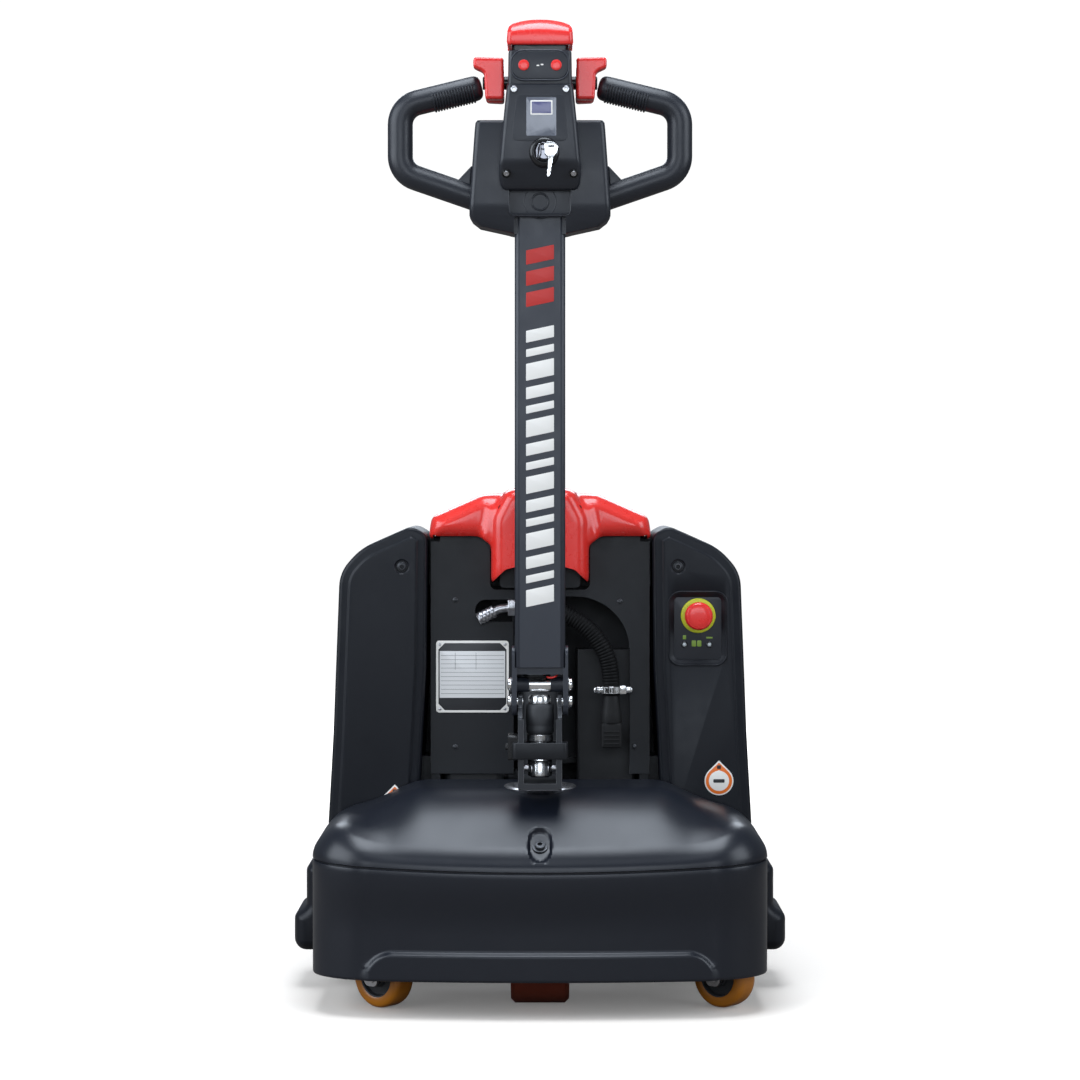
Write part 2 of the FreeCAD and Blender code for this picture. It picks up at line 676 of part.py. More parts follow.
def drive_wheel():
    start = (-DRIVE_W / 2, STEER_Y, DRIVE_R)
    tyre = bevelled_wheel(start, DRIVE_W, DRIVE_R, 15, 5)
    for low in (-DRIVE_W / 2 - 1, DRIVE_W / 2 - 13):
        tyre = tyre.cut(ring("x", (low, STEER_Y, DRIVE_R), 14, 80, 32))
    return join([tyre, rod("x", (-58, STEER_Y, DRIVE_R), 116, 15)])


def steer_bracket():
    base = prism("xy", [(-26, -727), (26, -727), (26, -612), (-26, -612)], 266, 274,
                 [4, 4, 24, 24])
    cheek = prism("yz", [(-725, 268), (-725, 352), (-710, 364), (-710, 380), (-690, 380),
                         (-678, 300), (-664, 268)], 21, 26, [0, 4, 4, 9, 9, 12, 0])
    flange = box(19, 26, -727, -723, 268, 350)
    half = join([cheek, flange])
    half = half.cut(rod("x", (18, TILT_Y, TILT_Z), 12, 6 + FIT))
    half = half.cut(rod("x", (18, TILT_Y, STRUT_Z), 12, 4 + FIT))
    strap = prism("xy", [(-21, -723), (21, -723), (21, -677), (-21, -677)], 304, 321, 9)
    strap = strap.cut(prism("xy", [(-17, -730), (17, -730), (17, -683), (-17, -683)],
                            303, 322, 7))
    return join([base, strap] + both(half))


def tilt_pins():
    pin = join([rod("x", (20, TILT_Y, TILT_Z), 13.5, 6), rod("x", (33.4, TILT_Y, TILT_Z), 5, 8)])
    return Part.makeCompound(both(pin))


def tilt_sensor():
    body = prism("yz", [(-722, 301), (-722, 331), (-688, 331), (-688, 301)], -38, -26, 3)
    screws = [rod("x", (-41, y, 316), 15, 3) for y in (-716, -694)]
    return join([body] + screws)


def strut_lower():
    eye = rod("x", (-11, TILT_Y, STRUT_Z), 22, 11.2)
    pin = rod("x", (-20.5, TILT_Y, STRUT_Z), 41, 4)
    return join([eye, pin, rod("z", (0, TILT_Y, STRUT_Z), 50, 11.2)])


def strut_upper():
    shape = join([rod("z", (0, TILT_Y, 323), 10, 13.7), rod("z", (0, TILT_Y, 332), 35, 16.4),
                  rod("z", (0, TILT_Y, 366), 12, 12.5)])
    return shape.cut(rod("z", (0, TILT_Y, 320), 42, 11.2 + FIT))


# ---- tiller ----

def tiller_tube():
    def section(inset, low, high, radius):
        x, front, back = TUBE_W / 2 - inset, TILT_Y - TUBE_D / 2 + inset, TILT_Y + TUBE_D / 2 - inset
        return prism("xy", [(-x, front), (x, front), (x, back), (-x, back)], low, high, radius)
    return section(0, TUBE_BOTTOM, TUBE_TOP, 6).cut(
        section(TUBE_WALL, TUBE_BOTTOM - 1, TUBE_TOP + 1, 3))


def tiller_ears():
    cheek = prism("yz", [(-719, 411), (-719, 366), (-716, 354), (-684, 354), (-681, 366),
                         (-681, 411)], 27.5, 33.3, [0, 6, 10, 10, 6, 0])
    strap = prism("yz", [(-719, 409), (-719, 436), (-681, 436), (-681, 409)], TUBE_W / 2,
                  33.3, [0, 10, 10, 0])
    half = join([cheek, strap]).cut(rod("x", (25, TILT_Y, TILT_Z), 12, 6 + FIT))
    core = prism("xy", [(-25, -715), (25, -715), (25, -685), (-25, -685)], 403, 440, 3)
    seat = box(-28, 28, -716, -684, 403, 410.9)
    bush = rod("x", (13, TILT_Y, EYE_Z), 15, 9)
    eye = rod("x", (-13.3, TILT_Y, EYE_Z), 26.6, 8.5)
    return join([core, seat, eye] + both(bush) + both(half))


def head_housing():
    outline = [(76, 1058), (83.5, 943), (70, 932), (31, 924), (-31, 924), (-70, 932),
               (-83.5, 943), (-76, 1058)]
    block = prism("xz", outline, HOUSING_FRONT, HOUSING_BACK, [8, 12, 8, 0, 0, 8, 12, 8])
    shape = block.cut(box(-TUBE_W / 2, TUBE_W / 2, TILT_Y - TUBE_D / 2, TILT_Y + TUBE_D / 2,
                          900, TUBE_TOP))
    waist = prism("xy", [(-95, -740), (-95, -716), (-60, -716), (-40, -730)], 900, 973)
    return shape.cut(waist).cut(mirrored(waist))


def head_pod():
    face = [(37, POD_TOP), (37, 1100), (48, 990), (46, 975), (-46, 975), (-48, 990),
            (-37, 1100), (-37, POD_TOP)]
    radii = [4, 20, 6, 6, 6, 6, 20, 4]
    front = prism("xz", face, POD_FRONT, HOUSING_FRONT, radii)
    upper = prism("xz", [(37, POD_TOP), (37, 1059), (-37, 1059), (-37, POD_TOP)],
                  HOUSING_FRONT - 1, POD_BACK, [4, 0, 0, 4])
    boss = rod("y", (KEY_X, POD_FRONT - 6, KEY_Z), 7, 17)
    pod = join([front, upper, boss])
    pod = pod.cut(rod("y", (KEY_X, POD_FRONT - 7, KEY_Z), 22, 9 + FIT))
    pod = pod.cut(rod("z", (0, GUIDE_Y, HEAD_BUTTON_Z), 30, 12 + FIT))
    for x in (-HEAD_BUTTON_X, HEAD_BUTTON_X):
        pod = pod.cut(rod("y", (x, POD_FRONT - 1, HEAD_BUTTON_Z), 12, 4 + FIT))
    return pod.cut(prism("xz", [(-22, 1043), (-22, 1080), (22, 1080), (22, 1043)],
                         POD_FRONT - 1, POD_FRONT + 1.5, 3))


def button_plate():
    plate = prism("xz", [(-33, 1102), (-33, 1135), (33, 1135), (33, 1102)],
                  POD_FRONT - 3, POD_FRONT, 14)
    for x in (-HEAD_BUTTON_X, HEAD_BUTTON_X):
        plate = plate.cut(rod("y", (x, POD_FRONT - 4, HEAD_BUTTON_Z), 6, 4 + FIT))
    return plate


def handle():
    """One closed half of the steering handle: grip, outer upright and lower arm."""
    corners = [Vec(68, TILT_Y, 1101), Vec(166, TILT_Y, 1077), Vec(166, TILT_Y, 999),
               Vec(79, TILT_Y, 969)]
    turn_radius = 26
    edges = []
    start = corners[0]
    for i in (1, 2):
        back = (corners[i - 1] - corners[i]).normalize()
        ahead = (corners[i + 1] - corners[i]).normalize()
        half = back.getAngle(ahead) / 2
        reach = turn_radius / math.tan(half)
        inside = turn_radius / math.sin(half) - turn_radius
        middle = corners[i] + (back + ahead).normalize() * inside
        edges.append(Part.LineSegment(start, corners[i] + back * reach).toShape())
        start = corners[i] + ahead * reach
        edges.append(Part.Arc(corners[i] + back * reach, middle, start).toShape())
    edges.append(Part.LineSegment(start, corners[3]).toShape())
    path = Part.Wire(edges)
    circle = Part.Wire([Part.Circle(corners[0], corners[1] - corners[0], HANDLE_R).toShape()])
    tube = path.makePipeShell([circle], True, False)
    stub = rod("x", (37, TILT_Y, SHAFT_Z), 36, 8)
    gusset = prism("xz", [(82, 1006), (86, 955), (112, 968)], -704, -696)
    trim = prism("xz", [(60, 900), (60, 1070), (75.2, 1070), (83.5, 943), (82, 900)], -760, -640)
    return join([tube, stub, gusset]).cut(trim)


def throttle():
    drum = ring("x", (42, TILT_Y, SHAFT_Z), 22, 25, 8 + FIT)
    paddle = prism("xz", [(44, 1112), (44, 1131), (77, 1133), (77, 1124), (64, 1118),
                          (64, 1112)], -722, -707, [0, 3, 3, 3, 0, 0])
    return Part.makeCompound(both(join([drum, paddle])))


def belly_button():
    cap = prism("xz", [(39, 1147), (36, 1172), (14, 1178), (-14, 1178), (-36, 1172),
                       (-39, 1147)], -748, -690, [3, 8, 30, 30, 8, 3])
    return join([cap, rod("z", (0, GUIDE_Y, 1124), 25, 12)])


def push_button(x):
    return join([rod("y", (x, POD_FRONT - 9, HEAD_BUTTON_Z), 3.5, 6.5),
                 rod("y", (x, POD_FRONT - 6, HEAD_BUTTON_Z), 14, 4)])


def key():
    barrel = rod("y", (KEY_X, POD_FRONT - 10, KEY_Z), 20, 9)
    neck = box(3.5, 6.5, POD_FRONT - 15, POD_FRONT - 9, 1012, 1022)
    bow = prism("xz", [(-5, 1026), (15, 1026), (15, 1006), (-5, 1006)],
                POD_FRONT - 18, POD_FRONT - 15, 8)
    blade = prism("xz", [(2, 1008), (8, 1008), (8, 984), (5, 981), (2, 984)],
                  POD_FRONT - 17.5, POD_FRONT - 15.5)
    return join([barrel, neck, bow, blade])


def estop_button():
    head = rod("y", (ESTOP_X, PANEL_FRONT - 21, ESTOP_Z), 13, 17.5)
    stem = rod("y", (ESTOP_X, PANEL_FRONT - 10, ESTOP_Z), 30, 9.2)
    return join([head, stem])


def nodes():
    right_fork, right_arm, right_wheel = fork(), load_arm(), load_wheel()
    right_rod, right_handle, right_bumper = push_rod(), handle(), bumper()
    result = {
        "chassis_frame": chassis_frame(), "steer_bearing": steer_bearing(),
        "drive_cover": drive_cover(), "cover_bolt": cover_bolt(),
        "centre_panel": centre_panel(), "lift_cylinder": lift_cylinder(),
        "hydraulic_unit": hydraulic_unit(), "motor_controller": motor_controller(),
        "conduit": conduit(), "conduit_clamp": conduit_clamp(),
        "conduit_boot": conduit_boot(), "hose_fitting": hose_fitting(),
        "data_plate": data_plate(), "lift_frame": lift_frame(),
        "fork_right": right_fork, "fork_left": mirrored(right_fork),
        "side_panel_left": side_panel_left(), "side_panel_right": side_panel_right(),
        "bumper_right": right_bumper, "bumper_left": mirrored(right_bumper),
        "hood": hood(), "lift_ram": lift_ram(), "ram_head": ram_head(),
        "estop_base": estop_base(), "panel_screws": panel_screws(),
        "battery_case": battery_case(), "battery_handle": battery_handle(),
        "rocker": rocker(), "push_rod_right": right_rod,
        "push_rod_left": mirrored(right_rod), "load_arm_right": right_arm,
        "load_arm_left": mirrored(right_arm), "load_wheel_right": right_wheel,
        "load_wheel_left": mirrored(right_wheel), "steer_shaft": steer_shaft(),
        "gear_case": gear_case(), "drive_motor": drive_motor(),
        "drive_wheel": drive_wheel(), "steer_bracket": steer_bracket(),
        "tilt_pins": tilt_pins(), "tilt_sensor": tilt_sensor(),
        "strut_lower": strut_lower(), "strut_upper": strut_upper(),
        "tiller_tube": tiller_tube(), "tiller_ears": tiller_ears(),
        "head_housing": head_housing(), "head_pod": head_pod(),
        "button_plate": button_plate(), "handle_right": right_handle,
        "handle_left": mirrored(right_handle), "throttle": throttle(),
        "belly_button": belly_button(), "raise_button": push_button(HEAD_BUTTON_X),
        "lower_button": push_button(-HEAD_BUTTON_X), "key": key(), "estop_button": estop_button(),
    }
    for name, side in (("left", -1), ("right", 1)):
        result["caster_fork_" + name] = caster_fork(side)
        result["caster_wheel_" + name] = caster_wheel(side)
    return result


def main():
    os.makedirs("parts", exist_ok=True)
    for name, shape in nodes().items():
        if not shape.isValid():
            raise ValueError(name + " is not a valid shape")
        print(name, len(shape.Solids), "solid", round(shape.Volume / 1000.0, 2), "cm3")
        shape.exportStep("parts/" + name + ".step")


main()
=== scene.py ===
"""Looks of the electric pallet truck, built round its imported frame.

Shapes are given in millimetres in the row frame (X right, Y towards the fork tips,
Z up) and become metres when a mesh is made.
"""
import json
import math

import bmesh
import bpy
from mathutils import Matrix, Vector


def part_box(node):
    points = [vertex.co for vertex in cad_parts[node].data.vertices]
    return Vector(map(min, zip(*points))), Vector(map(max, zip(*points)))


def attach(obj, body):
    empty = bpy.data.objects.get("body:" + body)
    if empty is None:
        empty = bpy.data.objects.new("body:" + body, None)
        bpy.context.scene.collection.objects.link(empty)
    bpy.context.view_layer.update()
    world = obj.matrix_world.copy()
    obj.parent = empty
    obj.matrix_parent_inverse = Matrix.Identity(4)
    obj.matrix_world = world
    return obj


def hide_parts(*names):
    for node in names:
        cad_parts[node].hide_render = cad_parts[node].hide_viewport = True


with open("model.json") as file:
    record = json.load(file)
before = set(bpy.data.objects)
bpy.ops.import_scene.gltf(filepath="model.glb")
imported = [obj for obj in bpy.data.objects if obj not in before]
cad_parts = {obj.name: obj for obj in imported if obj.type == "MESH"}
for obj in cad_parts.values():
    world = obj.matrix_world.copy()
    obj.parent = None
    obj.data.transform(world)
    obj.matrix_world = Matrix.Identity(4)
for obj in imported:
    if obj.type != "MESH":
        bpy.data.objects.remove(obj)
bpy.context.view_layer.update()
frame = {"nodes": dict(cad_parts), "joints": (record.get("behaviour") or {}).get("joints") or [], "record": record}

MM = 0.001
X_AXIS, Y_AXIS, Z_AXIS = (1, 0, 0), (0, 1, 0), (0, 0, 1)
WHITE = (1, 1, 1, 1)


def corners(node):
    """Lowest and highest corner of a CAD node, in millimetres."""
    low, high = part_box(node)
    return [v / MM for v in low], [v / MM for v in high]


# ---------------------------------------------------------------- stage and camera

CAMERA_DISTANCE = 4.105
CAMERA_HEIGHT = 0.63
CAMERA_PITCH = math.radians(1.14)
FOCAL_PIXELS = 2858.0
FRAME_PIXELS = 1080.0
SENSOR = 36.0
FLOOR_SIZE = 40.0
FLOOR_DROP = 0.0005
FLOOR_TONE = 0.75
FLOOR_DIM = 0.17
FLOOR_GLOW = (0.12, 0.9)
FLOOR_FADE = (0.7, 2.4)
BACKDROP = 1.05
AMBIENT = 0.17
SKY = (0.83, 0.905, 1)

# Name, place, target, width and height in metres, and power in watts
LIGHTS = (("key_left", (-2.8, -2, 1.8), (0, -0.5, 0.5), 3.2, 2.8, 112),
    ("key_right", (2.8, -2, 1.8), (0, -0.5, 0.5), 2.0, 2.6, 56),
    ("overhead", (0, -0.9, 3.2), (0, -0.4, 0.3), 1.5, 2.2, 84),
    ("front", (0, -4.9, 1.3), (0, -0.6, 0.6), 2.6, 1.4, 38),
    ("rear", (0, 3.4, 2.4), (0, 0.2, 0.3), 3.0, 1.6, 70))


def linked(name, data):
    """New object holding the data, in the scene."""
    item = bpy.data.objects.new(name, data)
    bpy.context.collection.objects.link(item)
    return item


def make_camera():
    data = bpy.data.cameras.new("camera")
    data.sensor_width = SENSOR
    data.lens = SENSOR * FOCAL_PIXELS / FRAME_PIXELS
    data.clip_end = 50.0
    camera = linked("camera", data)
    camera.location = (0.0, -CAMERA_DISTANCE, CAMERA_HEIGHT)
    camera.rotation_euler = (math.pi / 2 - CAMERA_PITCH, 0.0, 0.0)
    bpy.context.scene.camera = camera


def feed(tree, node, inputs):
    """Set a node's inputs, each a plain value or the socket that drives it."""
    for key, value in inputs.items():
        if isinstance(value, bpy.types.NodeSocket):
            tree.links.new(value, node.inputs[key])
        else:
            node.inputs[key].default_value = value


def shader_node(tree, kind, inputs=None, output=0, **settings):
    """Add a node and give the socket of its output."""
    node = tree.nodes.new("ShaderNode" + kind)
    for key, value in settings.items():
        setattr(node, key, value)
    feed(tree, node, inputs or {})
    return node.outputs[output]


def ranged(tree, value, start, end, low=0.0, high=1.0):
    """The value carried from one range to another and held inside it."""
    return shader_node(tree, "MapRange", {"Value": value, "From Min": start, "From Max": end,
        "To Min": low, "To Max": high}, "Result")


def by_view(tree, seen, other, output):
    """Show one shader to the camera and another to every other ray."""
    direct = shader_node(tree, "LightPath", output="Is Camera Ray")
    mixed = shader_node(tree, "MixShader", {0: direct, 1: other, 2: seen})
    tree.links.new(mixed, tree.nodes[output].inputs["Surface"])


def make_floor():
    """White floor that fades into the white backdrop and stays dim in reflections."""
    bpy.ops.mesh.primitive_plane_add(size=FLOOR_SIZE, location=(0.0, 0.0, -FLOOR_DROP))
    floor = bpy.context.object
    floor.name = "floor"
    paint = bpy.data.materials.new("floor_white")
    paint.use_nodes = True
    tree = paint.node_tree
    shader = tree.nodes["Principled BSDF"]
    place = shader_node(tree, "TexCoord", output="Object")
    distance = shader_node(tree, "VectorMath", {0: place}, "Value", operation="LENGTH")
    feed(tree, shader, {"Base Color": [FLOOR_TONE / c for c in SKY] + [1.0],
        "Roughness": 0.7, "Specular IOR Level": 0.2, "Emission Color": WHITE,
        "Emission Strength": ranged(tree, distance, *FLOOR_FADE, *FLOOR_GLOW)})
    dim = shader_node(tree, "BsdfDiffuse", {"Color": [FLOOR_DIM / c for c in SKY] + [1.0]})
    by_view(tree, shader.outputs[0], dim, "Material Output")
    floor.data.materials.append(paint)


def area_light(name, place, target, width, height, power):
    data = bpy.data.lights.new(name, "AREA")
    data.shape = "RECTANGLE"
    data.size = width
    data.size_y = height
    data.energy = power
    data.color = SKY
    light = linked(name, data)
    light.location = place
    aim = Vector(target) - Vector(place)
    light.rotation_euler = aim.to_track_quat("-Z", "Y").to_euler()


def make_lights():
    """Area lights in a dim room, with a white backdrop that only the camera sees."""
    world = bpy.data.worlds.new("studio")
    bpy.context.scene.world = world
    world.use_nodes = True
    tree = world.node_tree
    backdrop = tree.nodes["Background"]
    feed(tree, backdrop, {"Color": WHITE, "Strength": BACKDROP})
    ambient = shader_node(tree, "Background", {"Color": (*SKY, 1.0), "Strength": AMBIENT})
    by_view(tree, backdrop.outputs[0], ambient, "World Output")
    for light in LIGHTS:
        area_light(*light)
    bpy.context.scene.view_settings.view_transform = "Standard"


# ---------------------------------------------------------------- materials

# Scale, detail and roughness of the noises: mottled colour, uneven gloss, patchy wear
CLOUDS = (14, 5, 0.6)
SMEARS = (38, 6, 0.65)
PATCHES = (60, 4)
DUST = (0.32, 0.31, 0.3, 1)
WEAR_WIDTH = 0.0012
WEAR_AMOUNT = 0.55
COAT_ROUGHNESS = 0.08
GREY_WEAR = (0.16, 0.165, 0.175)
STEEL_WEAR = (0.35, 0.36, 0.38)
FINISHES = {}


def noise(tree, place, scale, detail, roughness=0.5):
    return shader_node(tree, "TexNoise", {"Vector": place, "Scale": scale, "Detail": detail,
        "Roughness": roughness}, "Fac")


def tinted(tree, amount, first, second):
    """Mix of two colours by the amount."""
    return shader_node(tree, "Mix", {"Factor": amount, "A": first, "B": second}, "Result",
        data_type="RGBA")


def finish(name, color, roughness, metallic=0.0, mottle=0.12, grain=0.00006, grain_size=1.1,
           wear=None, coat=0.0, dust=0.0, brushed=None, specular=0.5, uneven=0.14):
    """Procedural finish: mottled colour, uneven gloss, a fine grain and worn edges."""
    paint = FINISHES[name] = bpy.data.materials.new(name)
    paint.use_nodes = True
    tree = paint.node_tree
    place = shader_node(tree, "TexCoord", output="Object")
    surface = tinted(tree, noise(tree, place, *CLOUDS),
        [c * (1 - mottle) for c in color] + [1.0],
        [min(1.0, c * (1 + mottle)) for c in color] + [1.0])

    gloss_place = place
    if brushed:
        gloss_place = shader_node(tree, "Mapping", {"Vector": place, "Scale": brushed})
    gloss = ranged(tree, noise(tree, gloss_place, *SMEARS), 0.3, 0.7,
        roughness * (1 - uneven), min(1.0, roughness * (1 + uneven)))

    if dust:
        facing = shader_node(tree, "NewGeometry", output="Normal")
        upward = shader_node(tree, "SeparateXYZ", {"Vector": facing}, "Z")
        surface = tinted(tree, ranged(tree, upward, 0.2, 1.0, 0.0, dust), surface, DUST)

    if wear:
        round_edge = shader_node(tree, "Bevel", {"Radius": WEAR_WIDTH}, samples=4)
        facing = shader_node(tree, "NewGeometry", output="Normal")
        match = shader_node(tree, "VectorMath", {0: round_edge, 1: facing}, "Value",
            operation="DOT_PRODUCT")
        patchy = ranged(tree, noise(tree, place, *PATCHES), 0.42, 0.6, 0.0, WEAR_AMOUNT)
        worn = shader_node(tree, "Math", {0: ranged(tree, match, 0.985, 0.8), 1: patchy},
            operation="MULTIPLY")
        surface = tinted(tree, worn, surface, (*wear, 1.0))

    feed(tree, tree.nodes["Principled BSDF"], {"Base Color": surface, "Roughness": gloss,
        "Metallic": metallic, "Coat Weight": coat, "Coat Roughness": COAT_ROUGHNESS,
        "Specular IOR Level": specular})
    if grain:
        fine = noise(tree, place, 1000.0 / grain_size, 2.0)
        bump = shader_node(tree, "Bump", {"Strength": 0.5, "Distance": grain, "Height": fine})
        tree.links.new(bump, tree.nodes["Principled BSDF"].inputs["Normal"])


finish("frame_paint", (0.0065, 0.0075, 0.01), 0.42, wear=GREY_WEAR, specular=0.36)
finish("fork_paint", (0.013, 0.014, 0.017), 0.38, wear=STEEL_WEAR, dust=0.04)
finish("cover_plastic", (0.0066, 0.0084, 0.014), 0.33, mottle=0.08, grain=0.00003, grain_size=0.7,
    wear=(0.05, 0.055, 0.065), uneven=0.05)
finish("panel_plastic", (0.0055, 0.0068, 0.0105), 0.4, mottle=0.08, grain=0.00005, grain_size=0.9,
    wear=(0.045, 0.05, 0.06), specular=0.28)
finish("hood_red", (0.8, 0.03, 0.022), 0.28, mottle=0.05, grain=0.00002, coat=0.4)
finish("head_plastic", (0.0135, 0.0155, 0.0215), 0.39, mottle=0.08, grain=0.00005, grain_size=0.8,
    wear=(0.045, 0.05, 0.06))
finish("tiller_paint", (0.02, 0.0235, 0.033), 0.38, mottle=0.08, grain=0.00003,
    wear=(0.1, 0.11, 0.13))
finish("control_red", (0.8, 0.03, 0.026), 0.28, mottle=0.05, grain=0.00002, coat=0.35)
finish("chrome", (0.86, 0.86, 0.86), 0.22, metallic=1.0, mottle=0.03, grain=0)
finish("dark_chrome", (0.22, 0.22, 0.24), 0.2, metallic=1.0, mottle=0.1, grain=0)
finish("zinc_steel", (0.58, 0.58, 0.6), 0.3, metallic=1.0, mottle=0.1, grain=0.00002,
    brushed=(6, 6, 60))
finish("dark_steel", (0.045, 0.047, 0.052), 0.36, metallic=0.6, wear=STEEL_WEAR)
finish("cast_grey", (0.03, 0.032, 0.036), 0.55, grain=0.00025, grain_size=2.5, wear=GREY_WEAR)
finish("motor_black", (0.018, 0.019, 0.021), 0.4, wear=GREY_WEAR)
finish("drive_tyre", (0.2, 0.035, 0.016), 0.5, mottle=0.25, dust=0.05, grain=0.0001,
    grain_size=2.0)
finish("caster_tyre", (0.5, 0.17, 0.012), 0.32, mottle=0.25, grain=0.00005, grain_size=2.0,
    coat=0.2)
finish("load_tyre", (0.44, 0.15, 0.012), 0.36, mottle=0.25, grain=0.00005, grain_size=2.0)
finish("battery_case", (0.013, 0.014, 0.017), 0.5, wear=GREY_WEAR, specular=0.3)
# Its own black, deepened further as painted shade of the dark recess behind the tiller that it runs through.
finish("conduit", (0.003, 0.003, 0.0033), 0.6, grain=0, specular=0.16)
finish("boot_rubber", (0.006, 0.006, 0.0065), 0.6, grain=0.0001, specular=0.3)
finish("plate_print", (0.76, 0.75, 0.74), 0.35, mottle=0.05, grain=0)
finish("estop_yellow", (0.55, 0.58, 0.02), 0.35, mottle=0.05, grain=0)
finish("button_black", (0.01, 0.01, 0.011), 0.25, grain=0)
# Painted shade: the finned aluminium controller is made near-black to stand for the shade in the recess behind the
# arch.
finish("controller_alu", (0.012, 0.0125, 0.014), 0.5, metallic=0.3, wear=GREY_WEAR)
finish("print_white", (0.86, 0.83, 0.78), 0.4, mottle=0.04, grain=0)
finish("print_dark", (0.02, 0.021, 0.024), 0.4, grain=0)
finish("print_red", (0.5, 0.02, 0.015), 0.4, mottle=0.05, grain=0)
finish("print_orange", (0.8, 0.16, 0.01), 0.4, mottle=0.05, grain=0)
finish("print_green", (0.2, 0.32, 0.04), 0.4, grain=0)
finish("lens_clear", (0.5, 0.55, 0.56), 0.12, mottle=0.05, grain=0, coat=0.5)
finish("screen_film", (0.12, 0.13, 0.16), 0.16, mottle=0.5, grain=0.0012, grain_size=16.0,
    coat=0.7)
finish("screen_blue", (0.09, 0.09, 0.2), 0.2, grain=0, coat=0.4)
finish("wire_red", (0.5, 0.02, 0.015), 0.4, grain=0)


# ---------------------------------------------------------------- mesh helpers

def rounded(points, radii, inset=0.0, steps=6):
    """Closed outline moved in by the inset, its corners turned by arcs, in millimetres.

    The number of points is the same at every inset, so that outlines can be lofted.
    """
    count = len(points)
    if not isinstance(radii, (list, tuple)):
        radii = [radii] * count
    points = [Vector(p) for p in points]
    area = sum(points[i - 1].cross(points[i]) for i in range(count))
    sign = 1.0 if area > 0 else -1.0
    moved, sizes = [], []
    for i, corner in enumerate(points):
        before = (corner - points[i - 1]).normalized()
        after = (points[(i + 1) % count] - corner).normalized()
        inward = Vector((-before.y, before.x)) * sign
        mean = (inward + Vector((-after.y, after.x)) * sign).normalized()
        moved.append(corner + mean * (inset / mean.dot(inward)))
        convex = before.cross(after) * sign > 0
        sizes.append(max(0.4, radii[i] - inset) if convex else max(0.4, radii[i] + inset))
    outline = []
    for i, corner in enumerate(moved):
        if radii[i] <= 0:
            outline.append(corner)
            continue
        back = (moved[i - 1] - corner).normalized()
        ahead = (moved[(i + 1) % count] - corner).normalized()
        half = back.angle(ahead) / 2
        centre = corner + (back + ahead).normalized() * (sizes[i] / math.sin(half))
        start = corner + back * (sizes[i] / math.tan(half)) - centre
        end = corner + ahead * (sizes[i] / math.tan(half)) - centre
        sweep = math.atan2(start.cross(end), start.dot(end))
        for k in range(steps + 1):
            angle = sweep * k / steps
            outline.append(centre + start * math.cos(angle)
                + Vector((-start.y, start.x)) * math.sin(angle))
    return outline


def add_piece(name, shape, paint, body, *replaced, smooth=30.0):
    """Make a mesh, or a list of meshes, one piece with a finish, riding its body."""
    mesh = joined(shape) if isinstance(shape, list) else shape
    mesh.name = name
    mesh.materials.append(FINISHES[paint])
    mesh.shade_smooth()
    mesh.set_sharp_from_angle(angle=math.radians(smooth))
    piece = linked(name, mesh)
    if replaced:
        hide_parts(*replaced)
    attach(piece, body)


def add_pair(stem, make, paint, body, replaced, smooth):
    """A left-hand piece, mirrored, and its right-hand twin."""
    add_piece(stem + "_left", mirrored(make()), paint, body, replaced + "_left", smooth=smooth)
    add_piece(stem + "_right", make(), paint, body, replaced + "_right", smooth=smooth)


def mesh_of(verts, faces):
    """Closed mesh from points in millimetres, its normals made consistent."""
    mesh = bpy.data.meshes.new("mesh")
    mesh.from_pydata([[c * MM for c in v] for v in verts], [], faces)
    shape = bmesh.new()
    shape.from_mesh(mesh)
    bmesh.ops.remove_doubles(shape, verts=shape.verts, dist=1e-7)
    bmesh.ops.recalc_face_normals(shape, faces=shape.faces)
    shape.to_mesh(mesh)
    shape.free()
    mesh.update()
    return mesh


def joined(meshes):
    """One mesh holding all the given ones."""
    shape = bmesh.new()
    for mesh in meshes:
        shape.from_mesh(mesh)
        bpy.data.meshes.remove(mesh)
    result = bpy.data.meshes.new("mesh")
    shape.to_mesh(result)
    shape.free()
    return result


def lofted(rings, close=True, cap_start=True, cap_end=True):
    """Skin over rings that hold the same number of points."""
    count = len(rings[0])
    verts = [v for ring in rings for v in ring]
    faces = []
    span = count if close else count - 1
    for r in range(len(rings) - 1):
        for i in range(span):
            j = (i + 1) % count
            faces.append((r * count + i, r * count + j, (r + 1) * count + j, (r + 1) * count + i))
    if cap_start:
        faces.append(tuple(range(count)))
    if cap_end:
        faces.append(tuple(range((len(rings) - 1) * count, len(rings) * count)))
    return mesh_of(verts, faces)


def placed(point, depth, plane):
    """Point of an outline in the named plane, at a depth across it."""
    if plane == "xz":
        return point.x, depth, point.y
    if plane == "yz":
        return depth, point.x, point.y
    return point.x, point.y, depth


def plate(points, radii, steps, plane="xz"):
    """Solid whose outline is moved in step by step: steps are (inset, depth) pairs."""
    rings = [[placed(p, depth, plane) for p in rounded(points, radii, inset)]
        for inset, depth in steps]
    return lofted(rings)


def slab(points, radii, low, high, bevel=1.0, plane="xz"):
    """Prism with rounded edges at both ends."""
    sign = 1 if high > low else -1
    arc = [math.pi / 6 * k for k in range(4)]
    first = [(bevel * (1 - math.sin(a)), low + sign * bevel * (1 - math.cos(a))) for a in arc]
    last = [(bevel * (1 - math.sin(a)), high - sign * bevel * (1 - math.cos(a)))
        for a in reversed(arc)]
    return plate(points, radii, first + last, plane)


def full_turn(count):
    """Evenly spaced angles round a circle."""
    return [2 * math.pi * k / count for k in range(count)]


def symmetric(half):
    """Pairs mirrored about zero: the other side first, then the half run backwards."""
    return [(-a, b) for a, b in half] + [(a, b) for a, b in reversed(half)]


def rectangle(x0, x1, z0, z1):
    return [(x0, z0), (x1, z0), (x1, z1), (x0, z1)]


def mirrored(mesh):
    """The same mesh on the other side of the centre plane."""
    mesh.transform(Matrix.Scale(-1.0, 4, (1, 0, 0)))
    mesh.flip_normals()
    return mesh


